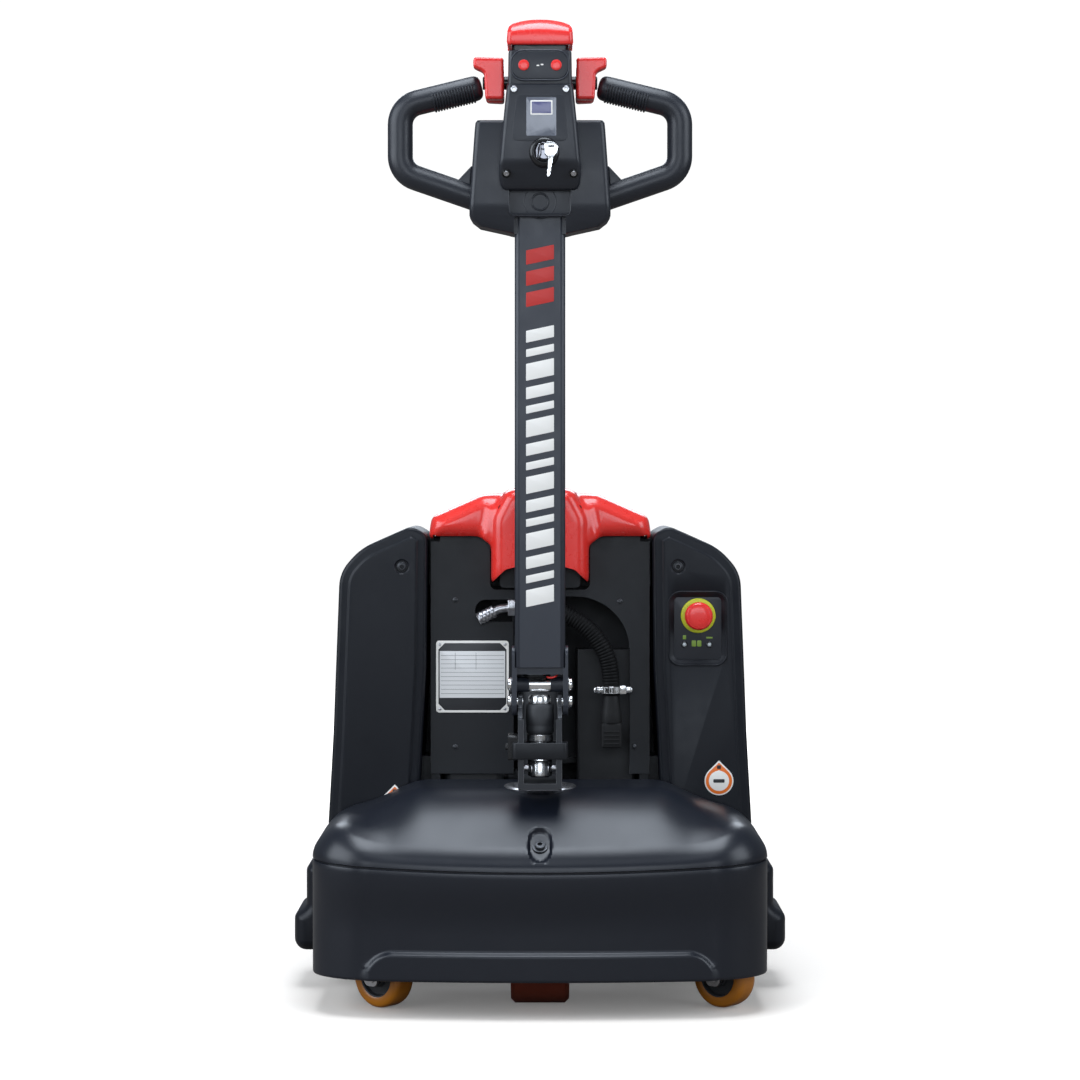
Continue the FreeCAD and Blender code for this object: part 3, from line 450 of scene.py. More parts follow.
def turned(profile, centre, axis, segments=48, close=False):
    """Solid of revolution: profile is (distance along axis, radius) pairs."""
    centre = Vector(centre)
    forward = Vector(axis).normalized()
    side = forward.orthogonal().normalized()
    up = forward.cross(side)
    rings = [[centre + forward * along + (side * math.cos(a) + up * math.sin(a)) * radius
        for a in full_turn(segments)] for along, radius in profile]
    if close:
        rings.append(rings[0])
    return lofted(rings, cap_start=not close, cap_end=not close)


def swept(path, radius, segments=24, closed=False):
    """Round tube along a path of points; radius may be a function of path index."""
    points = [Vector(p) for p in path]
    last = len(points) - 1
    rings = []
    side = None
    for i, point in enumerate(points):
        if closed:
            ahead = points[(i + 1) % len(points)] - points[i - 1]
        else:
            ahead = points[min(i + 1, last)] - points[max(i - 1, 0)]
        ahead.normalize()
        if side is None:
            side = ahead.orthogonal().normalized()
        side = (side - ahead * side.dot(ahead)).normalized()
        up = ahead.cross(side)
        size = radius(i) if callable(radius) else radius
        rings.append([point + (side * math.cos(a) + up * math.sin(a)) * size
            for a in full_turn(segments)])
    if closed:
        rings.append(rings[0])
    return lofted(rings, cap_start=not closed, cap_end=not closed)


def turned_path(points, radii, steps=10):
    """Points along straight runs joined by arcs, in three dimensions."""
    path = [Vector(points[0])]
    for i in range(1, len(points) - 1):
        corner = Vector(points[i])
        back = (Vector(points[i - 1]) - corner).normalized()
        ahead = (Vector(points[i + 1]) - corner).normalized()
        half = back.angle(ahead) / 2
        centre = corner + (back + ahead).normalized() * (radii[i - 1] / math.sin(half))
        start = corner + back * (radii[i - 1] / math.tan(half)) - centre
        end = corner + ahead * (radii[i - 1] / math.tan(half)) - centre
        sweep = math.pi - 2 * half
        for k in range(steps + 1):
            part = sweep * k / steps
            path.append(centre + start * (math.sin(sweep - part) / math.sin(sweep))
                + end * (math.sin(part) / math.sin(sweep)))
    path.append(Vector(points[-1]))
    return path


def curve_points(points, spacing):
    """Points at even spacing along the smooth curve that the route's points control."""
    data = bpy.data.curves.new("route", "CURVE")
    data.dimensions = "3D"
    data.resolution_u = 24
    spline = data.splines.new("NURBS")
    spline.points.add(len(points) - 1)
    for place, point in zip(spline.points, points):
        place.co = (*point, 1.0)
    spline.order_u = 3
    spline.use_endpoint_u = True
    holder = linked("route", data)
    graph = bpy.context.evaluated_depsgraph_get()
    line = bpy.data.meshes.new_from_object(holder.evaluated_get(graph))
    fine = [v.co.copy() for v in line.vertices]
    bpy.data.objects.remove(holder)
    bpy.data.meshes.remove(line)
    even, travelled, target = [fine[0]], 0.0, spacing
    for a, b in zip(fine, fine[1:]):
        step = (b - a).length
        while travelled + step >= target:
            even.append(a.lerp(b, (target - travelled) / step))
            target += spacing
        travelled += step
    return even


def evaluated(mesh, *modifiers):
    """Mesh after temporary modifiers, given as (type, settings) pairs."""
    holder = linked("holder", mesh)
    for kind, settings in modifiers:
        modifier = holder.modifiers.new(kind, kind)
        for key, value in settings.items():
            setattr(modifier, key, value)
    graph = bpy.context.evaluated_depsgraph_get()
    result = bpy.data.meshes.new_from_object(holder.evaluated_get(graph))
    bpy.data.objects.remove(holder)
    bpy.data.meshes.remove(mesh)
    return result


def carved(mesh, cutters):
    """Mesh with the cutter meshes taken away."""
    for cutter in cutters:
        tool = linked("cutter", cutter)
        mesh = evaluated(mesh, ("BOOLEAN", {"object": tool, "operation": "DIFFERENCE",
            "solver": "EXACT"}))
        bpy.data.objects.remove(tool)
        bpy.data.meshes.remove(cutter)
    return mesh


def blended(meshes, voxel=0.002, rounds=6):
    """Overlapping solids merged into one moulding with soft inner corners."""
    return evaluated(joined(meshes),
        ("REMESH", {"mode": "VOXEL", "voxel_size": voxel, "use_smooth_shade": True}),
        ("SMOOTH", {"iterations": rounds, "factor": 0.5}))


def smooth_step(value):
    """Soft ramp from 0 to 1."""
    value = min(1.0, max(0.0, value))
    return value * value * (3 - 2 * value)


# ---------------------------------------------------------------- drive cover

COVER_LOW, COVER_HIGH = corners("drive_cover")
COVER_HALF = COVER_HIGH[0]
COVER_FRONT = COVER_LOW[1]
COVER_BACK = COVER_HIGH[1]
COVER_BOTTOM = COVER_LOW[2]
COVER_PEAK = COVER_HIGH[2]
COVER_SEAM = 173.0
COVER_CORNER = 70.0
COVER_FLAT = COVER_HALF - COVER_CORNER
COVER_BOW = 1500.0
LIP_DEPTH = 6.0
LIP_FLAT = 174.0
LIP_CORNER = 36.0
LIP_SOFTNESS = 6.0
DRAFT_TOP = 8.0
DRAFT_HEIGHT = 60.0
RIM = 17.0
SIDE_RIM = 14.0
SIDE_RIM_START = 175.0
SIDE_RIM_SPAN = 85.0
SEAM_ARCH = 9.0
ARCH_START = 90.0
ARCH_SPAN = 80.0
DOME_LIFT = 2.0
STEER_Y = -640.0
BOLT_Z = 205.0
DISH = Vector((0, 5.5, -3.5))
DISH_HALF_WIDTH = 15.0
DISH_HALF_HEIGHT = 18.0
DISH_POWER = 2.6
HUMP_HALF_WIDTH = 266.0
HUMP_SLOPE = 128.0
HUMP_START = 4.0
HUMP_RUN = 124.0
SHOULDER_RISE = 12.0
SHOULDER_SPAN = 46.0
STEM_HOLE = 31.0
SKIN_THICKNESS = 0.0035


def cover_sag(x):
    """How far the bowed front runs back from its foremost line."""
    return COVER_BOW - math.sqrt(COVER_BOW ** 2 - min(abs(x), COVER_FLAT) ** 2)


def cover_outline(spacing=2.5):
    """Plan points and outward normals from the left back corner round to the right."""
    centre_y = COVER_FRONT + cover_sag(COVER_FLAT) + COVER_CORNER
    half = []
    count = int(COVER_FLAT / spacing)
    for k in range(count):
        x = COVER_FLAT * k / count
        half.append((x, COVER_FRONT + cover_sag(x), x / COVER_BOW, -1.0))
    for k in range(25):
        angle = math.pi / 2 * k / 24
        nx, ny = math.sin(angle), -math.cos(angle)
        half.append((COVER_FLAT + COVER_CORNER * nx, centre_y + COVER_CORNER * ny, nx, ny))
    for k in range(1, 25):
        half.append((COVER_HALF, centre_y + (COVER_BACK - centre_y) * k / 24, 1.0, 0.0))
    return [(-x, y, -nx, ny) for x, y, nx, ny in reversed(half[1:])] + half


def seam_rise(x):
    """The seam climbs towards the sides."""
    return SEAM_ARCH * (x / COVER_HALF) ** 2


def apron_lip(x, z):
    """How far the raised lip along the bottom stands out of the apron."""
    inside = LIP_CORNER - math.hypot(max(0.0, abs(x) - LIP_FLAT), z - COVER_BOTTOM)
    return LIP_DEPTH * smooth_step(inside / LIP_SOFTNESS)


def apron_draft(z):
    """How far the apron lies behind the plan outline, fading out towards the seam."""
    return LIP_DEPTH * smooth_step((COVER_SEAM - DRAFT_TOP - z) / DRAFT_HEIGHT)


def cover_depth(x, y):
    """Distance in from the plan outline."""
    qx = abs(x) - COVER_FLAT
    qy = COVER_FRONT + COVER_CORNER + cover_sag(x) - y
    outside = math.hypot(max(qx, 0.0), max(qy, 0.0))
    return COVER_CORNER - (outside + min(max(qx, qy), 0.0))


def dome_height(x, y):
    """Height of the cover's top: a rounded rim, higher at the sides, then a hump."""
    depth = max(0.0, cover_depth(x, y))
    rim = RIM + SIDE_RIM * smooth_step((abs(x) - SIDE_RIM_START) / SIDE_RIM_SPAN)
    edge = rim * math.sqrt(1 - (1 - min(depth, rim) / rim) ** 2)
    bell = smooth_step((HUMP_HALF_WIDTH - abs(x)) / HUMP_SLOPE)
    back = y - COVER_FRONT - cover_sag(x) - HUMP_START
    rise = math.sin(math.pi / 2 * min(1.0, max(0.0, back / HUMP_RUN)))
    shoulder = SHOULDER_RISE * smooth_step(depth / SHOULDER_SPAN) * (1.0 - bell)
    top = COVER_SEAM + DOME_LIFT + edge + shoulder
    top += (COVER_PEAK - COVER_SEAM - DOME_LIFT - RIM) * bell * rise
    top += seam_rise(x) * (1.0 - bell * rise)
    dish = 1.0 - abs(x / DISH_HALF_WIDTH) ** DISH_POWER
    dish -= abs((top - BOLT_Z) / DISH_HALF_HEIGHT) ** DISH_POWER
    return top, smooth_step(dish / 0.5)


def cover_apron():
    """Open band from the bottom edge, over the lip, to the groove at the seam."""
    rows = [(COVER_BOTTOM, -3.0), (COVER_BOTTOM + 0.4, -1.2), (COVER_BOTTOM + 1.6, -0.3)]
    rows += [(COVER_BOTTOM + 3.0 + 1.25 * k, 0.0) for k in range(36)]
    rows += [(COVER_BOTTOM + 55.0 + 11.0 * k, 0.0) for k in range(7)]
    rows += [(COVER_SEAM + rise, inset) for rise, inset in ((-2.2, 0), (-1.2, -0.3),
        (-0.8, -1.2), (-0.8, -3.2), (1, -3.2), (1.1, -1), (DOME_LIFT, 0))]
    outline = cover_outline()
    rings = []
    for z, inset in rows:
        ring = []
        for x, y, nx, ny in outline:
            facing = smooth_step(-ny * 1.1)
            out = inset + apron_lip(x, z) * facing - apron_draft(z) * facing
            climb = seam_rise(x) * smooth_step((z - ARCH_START) / ARCH_SPAN)
            ring.append((x + nx * out, y + ny * out, z + climb))
        rings.append(ring)
    return lofted(rings, close=False, cap_start=False, cap_end=False)


def cover_dome():
    """Grid over the top, finer at the bolt's dish and the front edge, open at the stem."""
    fine_x = [1.6 * k for k in range(-14, 15)]
    sweep = [COVER_HALF * math.sin(math.pi / 2 * k / 44) for k in range(-44, 45)]
    xs = sorted(fine_x + [x for x in sweep if abs(x) > 24.0])
    depths = [0.0, 0.25, 1.0, 2.2, 4.0, 6.2, 8.8, 11.6] + [14.0 + 1.6 * k for k in range(33)]
    depths += [70.0 + 6.5 * k for k in range(23)]
    span = len(depths)
    verts, faces = [], []
    for x in xs:
        over = max(0.0, abs(x) - COVER_FLAT)
        curve = COVER_CORNER - math.sqrt(max(0.0, COVER_CORNER ** 2 - over ** 2))
        front = COVER_FRONT + cover_sag(x) + curve
        for d in depths:
            y = front + (COVER_BACK - front) * d / depths[-1]
            z, dish = dome_height(x, y)
            verts.append(Vector((x, y, z)) + DISH * dish)
    for i in range(len(xs) - 1):
        for j in range(span - 1):
            a, b = i * span + j, (i + 1) * span + j
            middle = Vector(((xs[i] + xs[i + 1]) / 2, (verts[a].y + verts[a + 1].y) / 2))
            if (middle - Vector((0, STEER_Y))).length >= STEM_HOLE:
                faces.append((a, b, b + 1, a + 1))
    return mesh_of(verts, faces)


def make_drive_cover():
    """Moulded cover with the ring round its steering stem."""
    shell = evaluated(joined([cover_apron(), cover_dome()]), ("WELD", {"merge_threshold": 0.0006}),
        ("SOLIDIFY", {"thickness": SKIN_THICKNESS, "offset": -1.0, "use_even_offset": False}))
    add_piece("drive_cover_skin", shell, "cover_plastic", "chassis", "drive_cover", smooth=40)
    ring = turned([(0, 44), (1.8, 43.6), (3, 42), (3, 35.5), (1.6, 33), (-4, 33), (-4, 40)],
        (0, STEER_Y, COVER_PEAK - 1.0), Z_AXIS, segments=72, close=True)
    add_piece("cover_ring", ring, "zinc_steel", "chassis", smooth=36)
    make_cover_bolt()


def make_cover_bolt():
    """Socket screw with a flange, square to the bottom of the dished seat."""
    y = COVER_FRONT + 10.0
    while dome_height(0.0, y)[0] < BOLT_Z:
        y += 0.25
    slope = dome_height(0.0, y + 1.0)[0] - dome_height(0.0, y - 1.0)[0]
    normal = Vector((0.0, -slope, 2.0)).normalized()
    seat = Vector((0.0, y, BOLT_Z)) + DISH
    head = [(-4, 3), (0.2, 9), (1, 9.2), (1.8, 8.8), (2, 6.6), (4.6, 6.4), (5.6, 5.8),
        (5.9, 4.6), (5.9, 3.1), (2.8, 2.9)]
    add_piece("cover_bolt_head", turned(head, seat, normal, 40), "dark_steel", "chassis",
        "cover_bolt")


# ---------------------------------------------------------------- side panels and bumpers

PANEL_OUTLINE = [(264.8, 198), (258, 318), (250, 519), (223, 549), (160, 577), (140, 566),
    (142, 400), (153, 198)]
PANEL_RADII = [8, 0, 48, 76, 16, 14, 0, 8]
PANEL_FRONT = corners("side_panel_right")[0][1]
PANEL_BACK = corners("side_panel_right")[1][1]
# Insets of the outline and how far each lies behind the panel's face
PANEL_RIM = [(0, 10), (0.3, 7), (1.2, 4.8), (2.8, 3.4), (5, 2.8), (11, 2.6),
    (12, 2.2), (12.8, 1.4), (13.6, 0.5), (14.6, 0.1), (16, 0)]
STOP_RIM = [(-1.6, -1), (-0.6, 0), (1.2, 1), (4, 2.4), (5, 3), (5.6, 3.2)]
SIDE_LINES = ((236, 470), (210, 224))
SCREW_X, SCREW_Z = 172, 526
STOP_X, STOP_Z = 197, 465
STOP_SEAT = rectangle(162, 231, 405, 493)


def behind(face, steps):
    """Steps of a plate with their depths measured back from a face."""
    return [(inset, face + depth) for inset, depth in steps]


def panel_mesh(with_stop):
    """Moulded right-hand panel: soft rim, raised field, screw seat and switch seat."""
    front, back = PANEL_FRONT, PANEL_BACK
    mesh = plate(PANEL_OUTLINE, PANEL_RADII, [(0.3, back)] + behind(front, PANEL_RIM))
    hollow = [(5.0, back + 6.0), (5.0, front + 14.0), (8.0, front + 8.0)]
    seat = [(-2, 10.5), (0, 9.6), (1, 8.4), (3.4, 7.8)]
    cutters = [plate(PANEL_OUTLINE, PANEL_RADII, hollow),
        turned(seat, (SCREW_X, front, SCREW_Z), Y_AXIS, 40)]
    if with_stop:
        cutters.append(plate(STOP_SEAT, 12, behind(front, STOP_RIM)))
    for low, high in SIDE_LINES:
        groove = rounded(rectangle(front + 26, back - 26, low, high), 6, 0, 5)
        line = [Vector((panel_side(p.y) + 0.3, p.x, p.y)) for p in groove]
        cutters.append(swept(line, 1.5, 8, closed=True))
    return carved(mesh, cutters)


def panel_side(z):
    """Where the panel's outer side stands at this height."""
    (x0, z0), (x1, z1), (x2, z2) = PANEL_OUTLINE[:3]
    if z < z1:
        return x0 + (x1 - x0) * (z - z0) / (z1 - z0)
    return x1 + (x2 - x1) * (z - z1) / (z2 - z1)


def panel_screw():
    head = [(4, 2), (0.2, 6.3), (-1.2, 6.1), (-2, 5.2), (-2.4, 3.8), (-2.4, 3), (0.6, 2.8)]
    return turned(head, (SCREW_X, PANEL_FRONT + 3.4, SCREW_Z), Y_AXIS, 32)


def make_side_panels():
    for name, skin in (("left", mirrored(panel_mesh(False))), ("right", panel_mesh(True))):
        add_piece("side_panel_skin_" + name, skin, "panel_plastic", "lift_carriage",
            "side_panel_" + name, smooth=34)
    add_piece("panel_screw_heads", [panel_screw(), mirrored(panel_screw())], "dark_steel",
        "lift_carriage", "panel_screws")


def make_stop_switch():
    """Emergency stop on its sunk field, with two indicator lenses and small marks."""
    front = PANEL_FRONT + 3.2
    place = (STOP_X, front, STOP_Z)
    lip = [placed(p, PANEL_FRONT + 0.1, "xz") for p in rounded(STOP_SEAT, 13, -1.8, 8)]
    add_piece("stop_seat_lip", swept(lip, 1.3, 8, closed=True), "panel_plastic", "lift_carriage",
        smooth=60)
    field = slab(rectangle(167, 226, 411, 488), 5, front + 0.5, front - 0.6, 0.4)
    add_piece("stop_field", field, "head_plastic", "lift_carriage")
    collar = turned([(6, 12), (0, 21.6), (-2.4, 21.6), (-3.4, 20.8), (-3.8, 19), (-3.2, 12)],
        place, Y_AXIS, 64)
    add_piece("stop_collar", collar, "estop_yellow", "lift_carriage", "estop_base")
    mushroom = [(24, 8.5), (-2, 9), (-7, 9.4), (-9.5, 12), (-11, 16.6), (-12.4, 17.4),
        (-16, 17.5), (-19, 17.1), (-21, 16.2), (-22.2, 14.9), (-22, 14.3), (-22.3, 13.7),
        (-23, 9), (-23.2, 4)]
    add_piece("stop_mushroom", turned(mushroom, place, Y_AXIS, 64), "control_red",
        "stop_switch", "estop_button")
    lenses, bezels = [], []
    for x in (STOP_X - 17.0, STOP_X + 14.0):
        place = (x, front - 0.6, 429)
        bezels.append(turned([(0, 4.2), (-1.6, 4), (-2.2, 3.4), (-1.6, 2.6), (0, 2.5)], place,
            Y_AXIS, 28, close=True))
        lenses.append(turned([(0, 2.6), (-1.5, 2.5), (-2.6, 1.6), (-2.9, 0.6)], place, Y_AXIS, 24))
    add_piece("indicator_bezels", bezels, "button_black", "lift_carriage")
    add_piece("indicator_lenses", lenses, "lens_clear", "lift_carriage")
    marks = ((rectangle(189, 194.4, 426.5, 434), 1), (rectangle(195.6, 201, 426.5, 434), 1),
        (rectangle(178, 182, 435.5, 440.5), 0.6), (rectangle(207, 215, 436.5, 438.5), 0.6))
    marks = [slab(mark, radius, front - 0.5, front - 0.9, 0.1) for mark, radius in marks]
    add_piece("indicator_marks", marks, "print_green", "lift_carriage")


def teardrop(radius, tip, centre_x, centre_z):
    """Outline of a round badge with a point at its top."""
    lean = math.acos(radius / tip)
    points = [(centre_x, centre_z + tip)]
    for k in range(33):
        angle = lean + (2 * math.pi - 2 * lean) * k / 32
        points.append((centre_x + radius * math.sin(angle), centre_z + radius * math.cos(angle)))
    return points


def make_badges():
    """Plain teardrop badges: white border, orange band, white field and a dark bar."""
    front = PANEL_FRONT
    layers = (("border", "print_white", 18.0, 25.5, 0.25),
        ("band", "print_orange", 16.4, 22.8, 0.45), ("field", "print_white", 12.6, 13.4, 0.6))
    for name, x, z in (("left", -181.0, 229.0), ("right", 223.0, 259.0)):
        for layer, paint, radius, tip, rise in layers:
            disc = slab(teardrop(radius, tip, x, z), 0, front + 0.1, front - rise, 0.08)
            add_piece("badge_" + layer + "_" + name, disc, paint, "lift_carriage")
        marks = (rectangle(x - 7, x + 7, z - 2.2, z + 2.2),
            rectangle(x - 2.4, x + 2.4, z + 15.0, z + 19.5))
        bars = [slab(mark, 1, front, front - 0.75, 0.05) for mark in marks]
        add_piece("badge_bars_" + name, bars, "print_dark", "lift_carriage")


def bumper_mesh():
    outline = [(250, 46), (307, 46), (307, 92), (292, 101), (292, 150), (284, 157), (250, 157)]
    steps = [(6, -420), (1.5, -424), (0, -430), (0, -536), (1.2, -543), (3.6, -549),
        (7, -553), (11, -555.5), (14, -556)]
    return plate(outline, [3, 15, 12, 9, 10, 5, 3], steps)


def make_bumpers():
    add_pair("bumper_skin", bumper_mesh, "panel_plastic", "lift_carriage", "bumper", 50)


# ---------------------------------------------------------------- hood

HOOD_WING = [(140, 560), (135.6, 588), (72, 616), (44, 617)]
HOOD_HUMP = [(61, 506), (61, 588), (42, 623.6)]
HOOD_ARCH = [(58.5, 480), (58.5, 508), (43, 523), (28, 527)]


def make_hood():
    """Red moulding: two sloping wings, a broad hump and legs either side of an arch."""
    parts = [plate(symmetric(HOOD_WING), [2, 9, 16, 4, 4, 16, 9, 2],
        [(0, -456), (0, -532), (0.8, -538), (2.6, -543.5), (5.4, -548.5), (9, -552.5),
            (13, -555), (16, -556)]),
        plate(symmetric(HOOD_HUMP), [1, 26, 16, 16, 26, 1],
            [(0, -462), (0, -548), (0.6, -556), (2.4, -563.5), (5.2, -569), (9, -572.5),
                (13, -574)])]
    for side in (-1, 1):
        fillet = [(side * x, z) for x, z in ((50, 545), (74, 562), (66, 600), (50, 606))]
        parts.append(plate(fillet, 3, [(0, -480), (0, -556), (2, -560), (6, -563)]))
    wing_hollow = [(x * 0.965, z - 5.0) for x, z in symmetric(HOOD_WING)]
    cutters = [slab(symmetric(HOOD_ARCH), [0, 2, 12, 10, 10, 12, 2, 0], -640, -400, 0.5),
        slab(wing_hollow, 3, -546, -440),
        slab(rectangle(-52, 52, 490, 604), 6, -566, -440),
        slab(rectangle(-160, 160, 540, 559.5), 0, -535, -440, 0.1)]
    skin = carved(blended(parts, rounds=34), cutters)
    add_piece("hood_skin", skin, "hood_red", "lift_carriage", "hood", smooth=50)
    outline = [(108, 520), (141, 520), (140.5, 558), (131, 564), (131, 578), (108, 586)]
    brackets = [slab([(side * x, z) for x, z in outline], 2, -486, -482) for side in (-1, 1)]
    add_piece("hood_brackets", brackets, "frame_paint", "lift_carriage")


# ---------------------------------------------------------------- tiller head

TILT_Y = -700.0
SHAFT_Z = 1105.0
KEY_X, KEY_Z = 5, 1017
HANDLE_R = 15.0
POD_FACE = -755.0


def sections(stations, radius):
    """Upright moulding from plan sections: (z, half width, front, back) stations."""
    rings = [[(p.x, p.y, z) for p in rounded(rectangle(-half, half, front, back), radius)]
        for z, half, front, back in stations]
    return lofted(rings)


def make_head_housing():
    """Housing with a channel for the pod, raised rims along it and a round seat below."""
    stations = [(924, 33, -719, -677), (926, 40, -722, -675), (933, 71, -725, -673),
        (940, 80, -727, -672.5), (946, 83.4, -729, -672), (956, 83.3, -731.5, -672),
        (961, 83, -732.2, -672), (1000, 80.4, -732.2, -672), (1048, 77, -731, -672),
        (1055, 76.3, -729.5, -672), (1058, 74.5, -726.5, -675)]
    channel = slab(rectangle(-36.5, 36.5, 947, 1090), 7, -760, -723.5, 1.5)
    notch = slab(rectangle(-30.8, 30.8, 900, 944.5), 3, -760, -719.6, 0.2)
    body = carved(sections(stations, 7), [channel, notch])
    add_piece("head_housing_skin", body, "head_plastic", "tiller", "head_housing", smooth=32)
    rim = [(36.9, -731.4, 1000), (36.9, -731.6, 960), (36.6, -730.6, 950), (34, -728.8, 946.2),
        (29, -728.2, 945.2), (0, -728, 945)]
    rims = [swept([(side * x, y, z) for x, y, z in rim], 0.9, 8) for side in (-1, 1)]
    place = (0, -723.3, 962)
    seat = turned([(0, 11), (-0.9, 10.6), (-1.1, 9.6), (-0.7, 8.8), (0.2, 8.4)], place, Y_AXIS,
        40)
    halo = turned([(0, 20), (-0.5, 19.4), (-0.5, 18.6), (0, 18)], place, Y_AXIS, 48, close=True)
    add_piece("head_housing_rims", [*rims, seat, halo], "head_plastic", "tiller", smooth=60)


def make_head_pod():
    """Control pod: upright face, chamfered chin, stepped top and a rounded lock boss."""
    lower = [(975, 41, -737, -722), (976.5, 44, -739, -722), (981, 46.6, -742, -722),
        (992, 48.2, -747.5, -722), (1002, 48, -752.6, -722), (1006, 47.6, -754.2, -722),
        (1011, 47, -755, -722), (1055, 43, -755, -722), (1092, 39.2, -755, -722),
        (1095.5, 38.8, -754.4, -722), (1097, 38.2, -752.5, -722)]
    add_piece("pod_lower", sections(lower, 6), "head_plastic", "tiller", "head_pod", smooth=38)
    upper = [(1056, 36, -740, -690), (1060, 37.2, -744, -688.5), (1096, 37.5, -751.5, -688),
        (1099, 37.5, -752, -688), (1133.2, 37, -752, -688), (1135.7, 36.6, -751.4, -688.6),
        (1136.8, 35.6, -750, -690)]
    add_piece("pod_upper", sections(upper, 5), "head_plastic", "tiller", smooth=38)
    boss = turned([(12, 19), (2, 18.4), (-3, 17.4), (-5.2, 16.4), (-6.4, 14.4), (-6.6, 12.6),
        (-5.6, 11.6), (-4.6, 9.6)], (KEY_X, -754, KEY_Z), Y_AXIS, 48)
    add_piece("pod_boss", boss, "button_black", "tiller", smooth=38)

    layers = (
        ("pod_membrane", symmetric([(33, 1030), (27.5, 1084)]), 6, 0.4, 0.35, 0.3,
            "head_plastic"),
        ("display_film", rectangle(-16, 19, 1036, 1081), 1, 0, 0.6, 0.1, "screen_film"),
        ("display_frame", rectangle(-11.2, 14.6, 1060.5, 1077.5), 1, 0, 0.8, 0.1, "print_white"),
        ("display_glass", rectangle(-9.6, 13, 1062.2, 1075.8), 0.6, 0, 0.95, 0.1,
            "screen_blue"))
    for name, outline, radius, sunk, rise, bevel, paint in layers:
        layer = slab(outline, radius, POD_FACE + sunk, POD_FACE - rise, bevel)
        add_piece(name, layer, paint, "tiller")

    upper_head = [(3, 2), (0, 3.9), (-0.9, 3.8), (-1.5, 3.2), (-1.6, 2), (-0.3, 1.7)]
    lower_head = [(3, 2), (0, 3.4), (-0.9, 3.3), (-1.3, 2.6), (-1.3, 1.6), (0, 1.4)]
    seat = [(4, 5.6), (-0.2, 5.4), (-1.1, 5), (-1.3, 4.4), (0.8, 4)]
    chin = (0, 0.88, 0.47)
    for name, paint, profile, (x, y, z), axis, segments in (
            ("pod_screws_upper", "zinc_steel", upper_head, (30.5, POD_FACE, 1090.5), Y_AXIS, 28),
            ("pod_screws_lower", "zinc_steel", lower_head, (39.5, -748.6, 992.8), chin, 28),
            ("pod_screw_seats", "button_black", seat, (39.5, -749.2, 992.5), chin, 32)):
        pair = [turned(profile, (side * x, y, z), axis, segments) for side in (-1, 1)]
        add_piece(name, pair, paint, "tiller")


def make_head_controls():
    """Rounded plate on the pod's top with the raise and lower buttons."""
    z, face = 1118.5, -752
    pill = slab(rectangle(-33, 33, z - 16.3, z + 16.3), 13.5, face + 1, face - 2.6, 1)
    add_piece("button_plate_skin", pill, "head_plastic", "tiller", "button_plate", smooth=50)
    outline = rounded(rectangle(-34, 34, z - 17.3, z + 17.3), 14.5, 0, 8)
    rim = swept([placed(p, face - 1.6, "xz") for p in outline], 1.2, 8, closed=True)
    add_piece("button_plate_rim", rim, "tiller_paint", "tiller", smooth=60)
    profile = [(10, 4), (0, 4), (-2, 6.4), (-3.6, 6.4), (-4.3, 6.1), (-4.6, 5.4), (-4.8, 2.5)]
    for name, x in (("raise", 19.0), ("lower", -19.0)):
        cap = turned(profile, (x, face, z), Y_AXIS, 40)
        add_piece(name + "_button_cap", cap, "control_red", name + "_switch",
            name + "_button", smooth=40)
    dashes = [slab(rectangle(x - 1.6, x + 1.6, mid - 0.8, mid + 0.8), 0.5, face - 2.4,
        face - 2.8, 0.1) for x, mid in ((-2.4, z - 0.4), (2.4, z + 0.6))]
    add_piece("button_plate_mark", dashes, "print_white", "tiller")


# Height, half width and front of the cap at each level
CAP_STATIONS = [(1143.5, 37.4, -748.5), (1144.5, 38.4, -750), (1147, 39, -750.8),
    (1158, 38.6, -750.8), (1161, 38.5, -750.2), (1164, 38.4, -748.2), (1170, 38, -741.5),
    (1175, 37.4, -733), (1176.2, 36.4, -726), (1177, 34, -719)]
CAP_BACK = -690
CAP_HALF = 38
CAP_CROWN = 7
CROWN_POWER = 1.5
EDGE_PARTS = 16


def edges_divided(outline):
    """The outline with its long edges across the truck cut into even parts."""
    points = []
    for p in outline:
        if points and (p - points[-1]).length > 20 and abs(p.y - points[-1].y) < 1:
            points += [points[-1].lerp(p, k / EDGE_PARTS) for k in range(1, EDGE_PARTS)]
        points.append(p)
    return points


def make_belly_button():
    """Reversing cap: crowned top, broad chamfer, hollow below to slide over its neck."""
    low, high = CAP_STATIONS[0][0], CAP_STATIONS[-1][0]
    rings = []
    for z, half, front in CAP_STATIONS:
        outline = edges_divided(rounded(rectangle(-half, half, front, CAP_BACK), 6, 0, 8))
        crown = CAP_CROWN * ((z - low) / (high - low)) ** CROWN_POWER
        rings.append([(p.x, p.y, z - crown * (p.x / CAP_HALF) ** 2) for p in outline])
    hollow = slab(rectangle(-33, 33, low - 5, low + 13), 3, -746, -694)
    neck = slab(rectangle(-31, 31, low - 12, low + 4.5), 2.5, -743, -697, 1.5)
    add_piece("belly_neck", neck, "button_black", "tiller")
    add_piece("belly_button_cap", carved(lofted(rings), [hollow]), "control_red",
        "belly_switch", "belly_button")


def throttle_mesh():
    """Right-hand wing: a drum on the shaft and a flat thumb plate, blended."""
    drum = turned([(42.2, 8.2), (42.2, 23.2), (44, 25), (61, 24.2), (63.6, 22.4), (64.4, 19),
        (64.4, 8.2)], (0, TILT_Y, SHAFT_Z), X_AXIS, 56, close=True)
    front = slab([(42.6, 1083), (42.6, 1132), (79, 1133), (79, 1121), (66, 1115), (64.6, 1083)],
        [2, 3, 4, 4, 6, 3], -725, -702, 3)
    return blended([drum, front], voxel=0.0012, rounds=8)


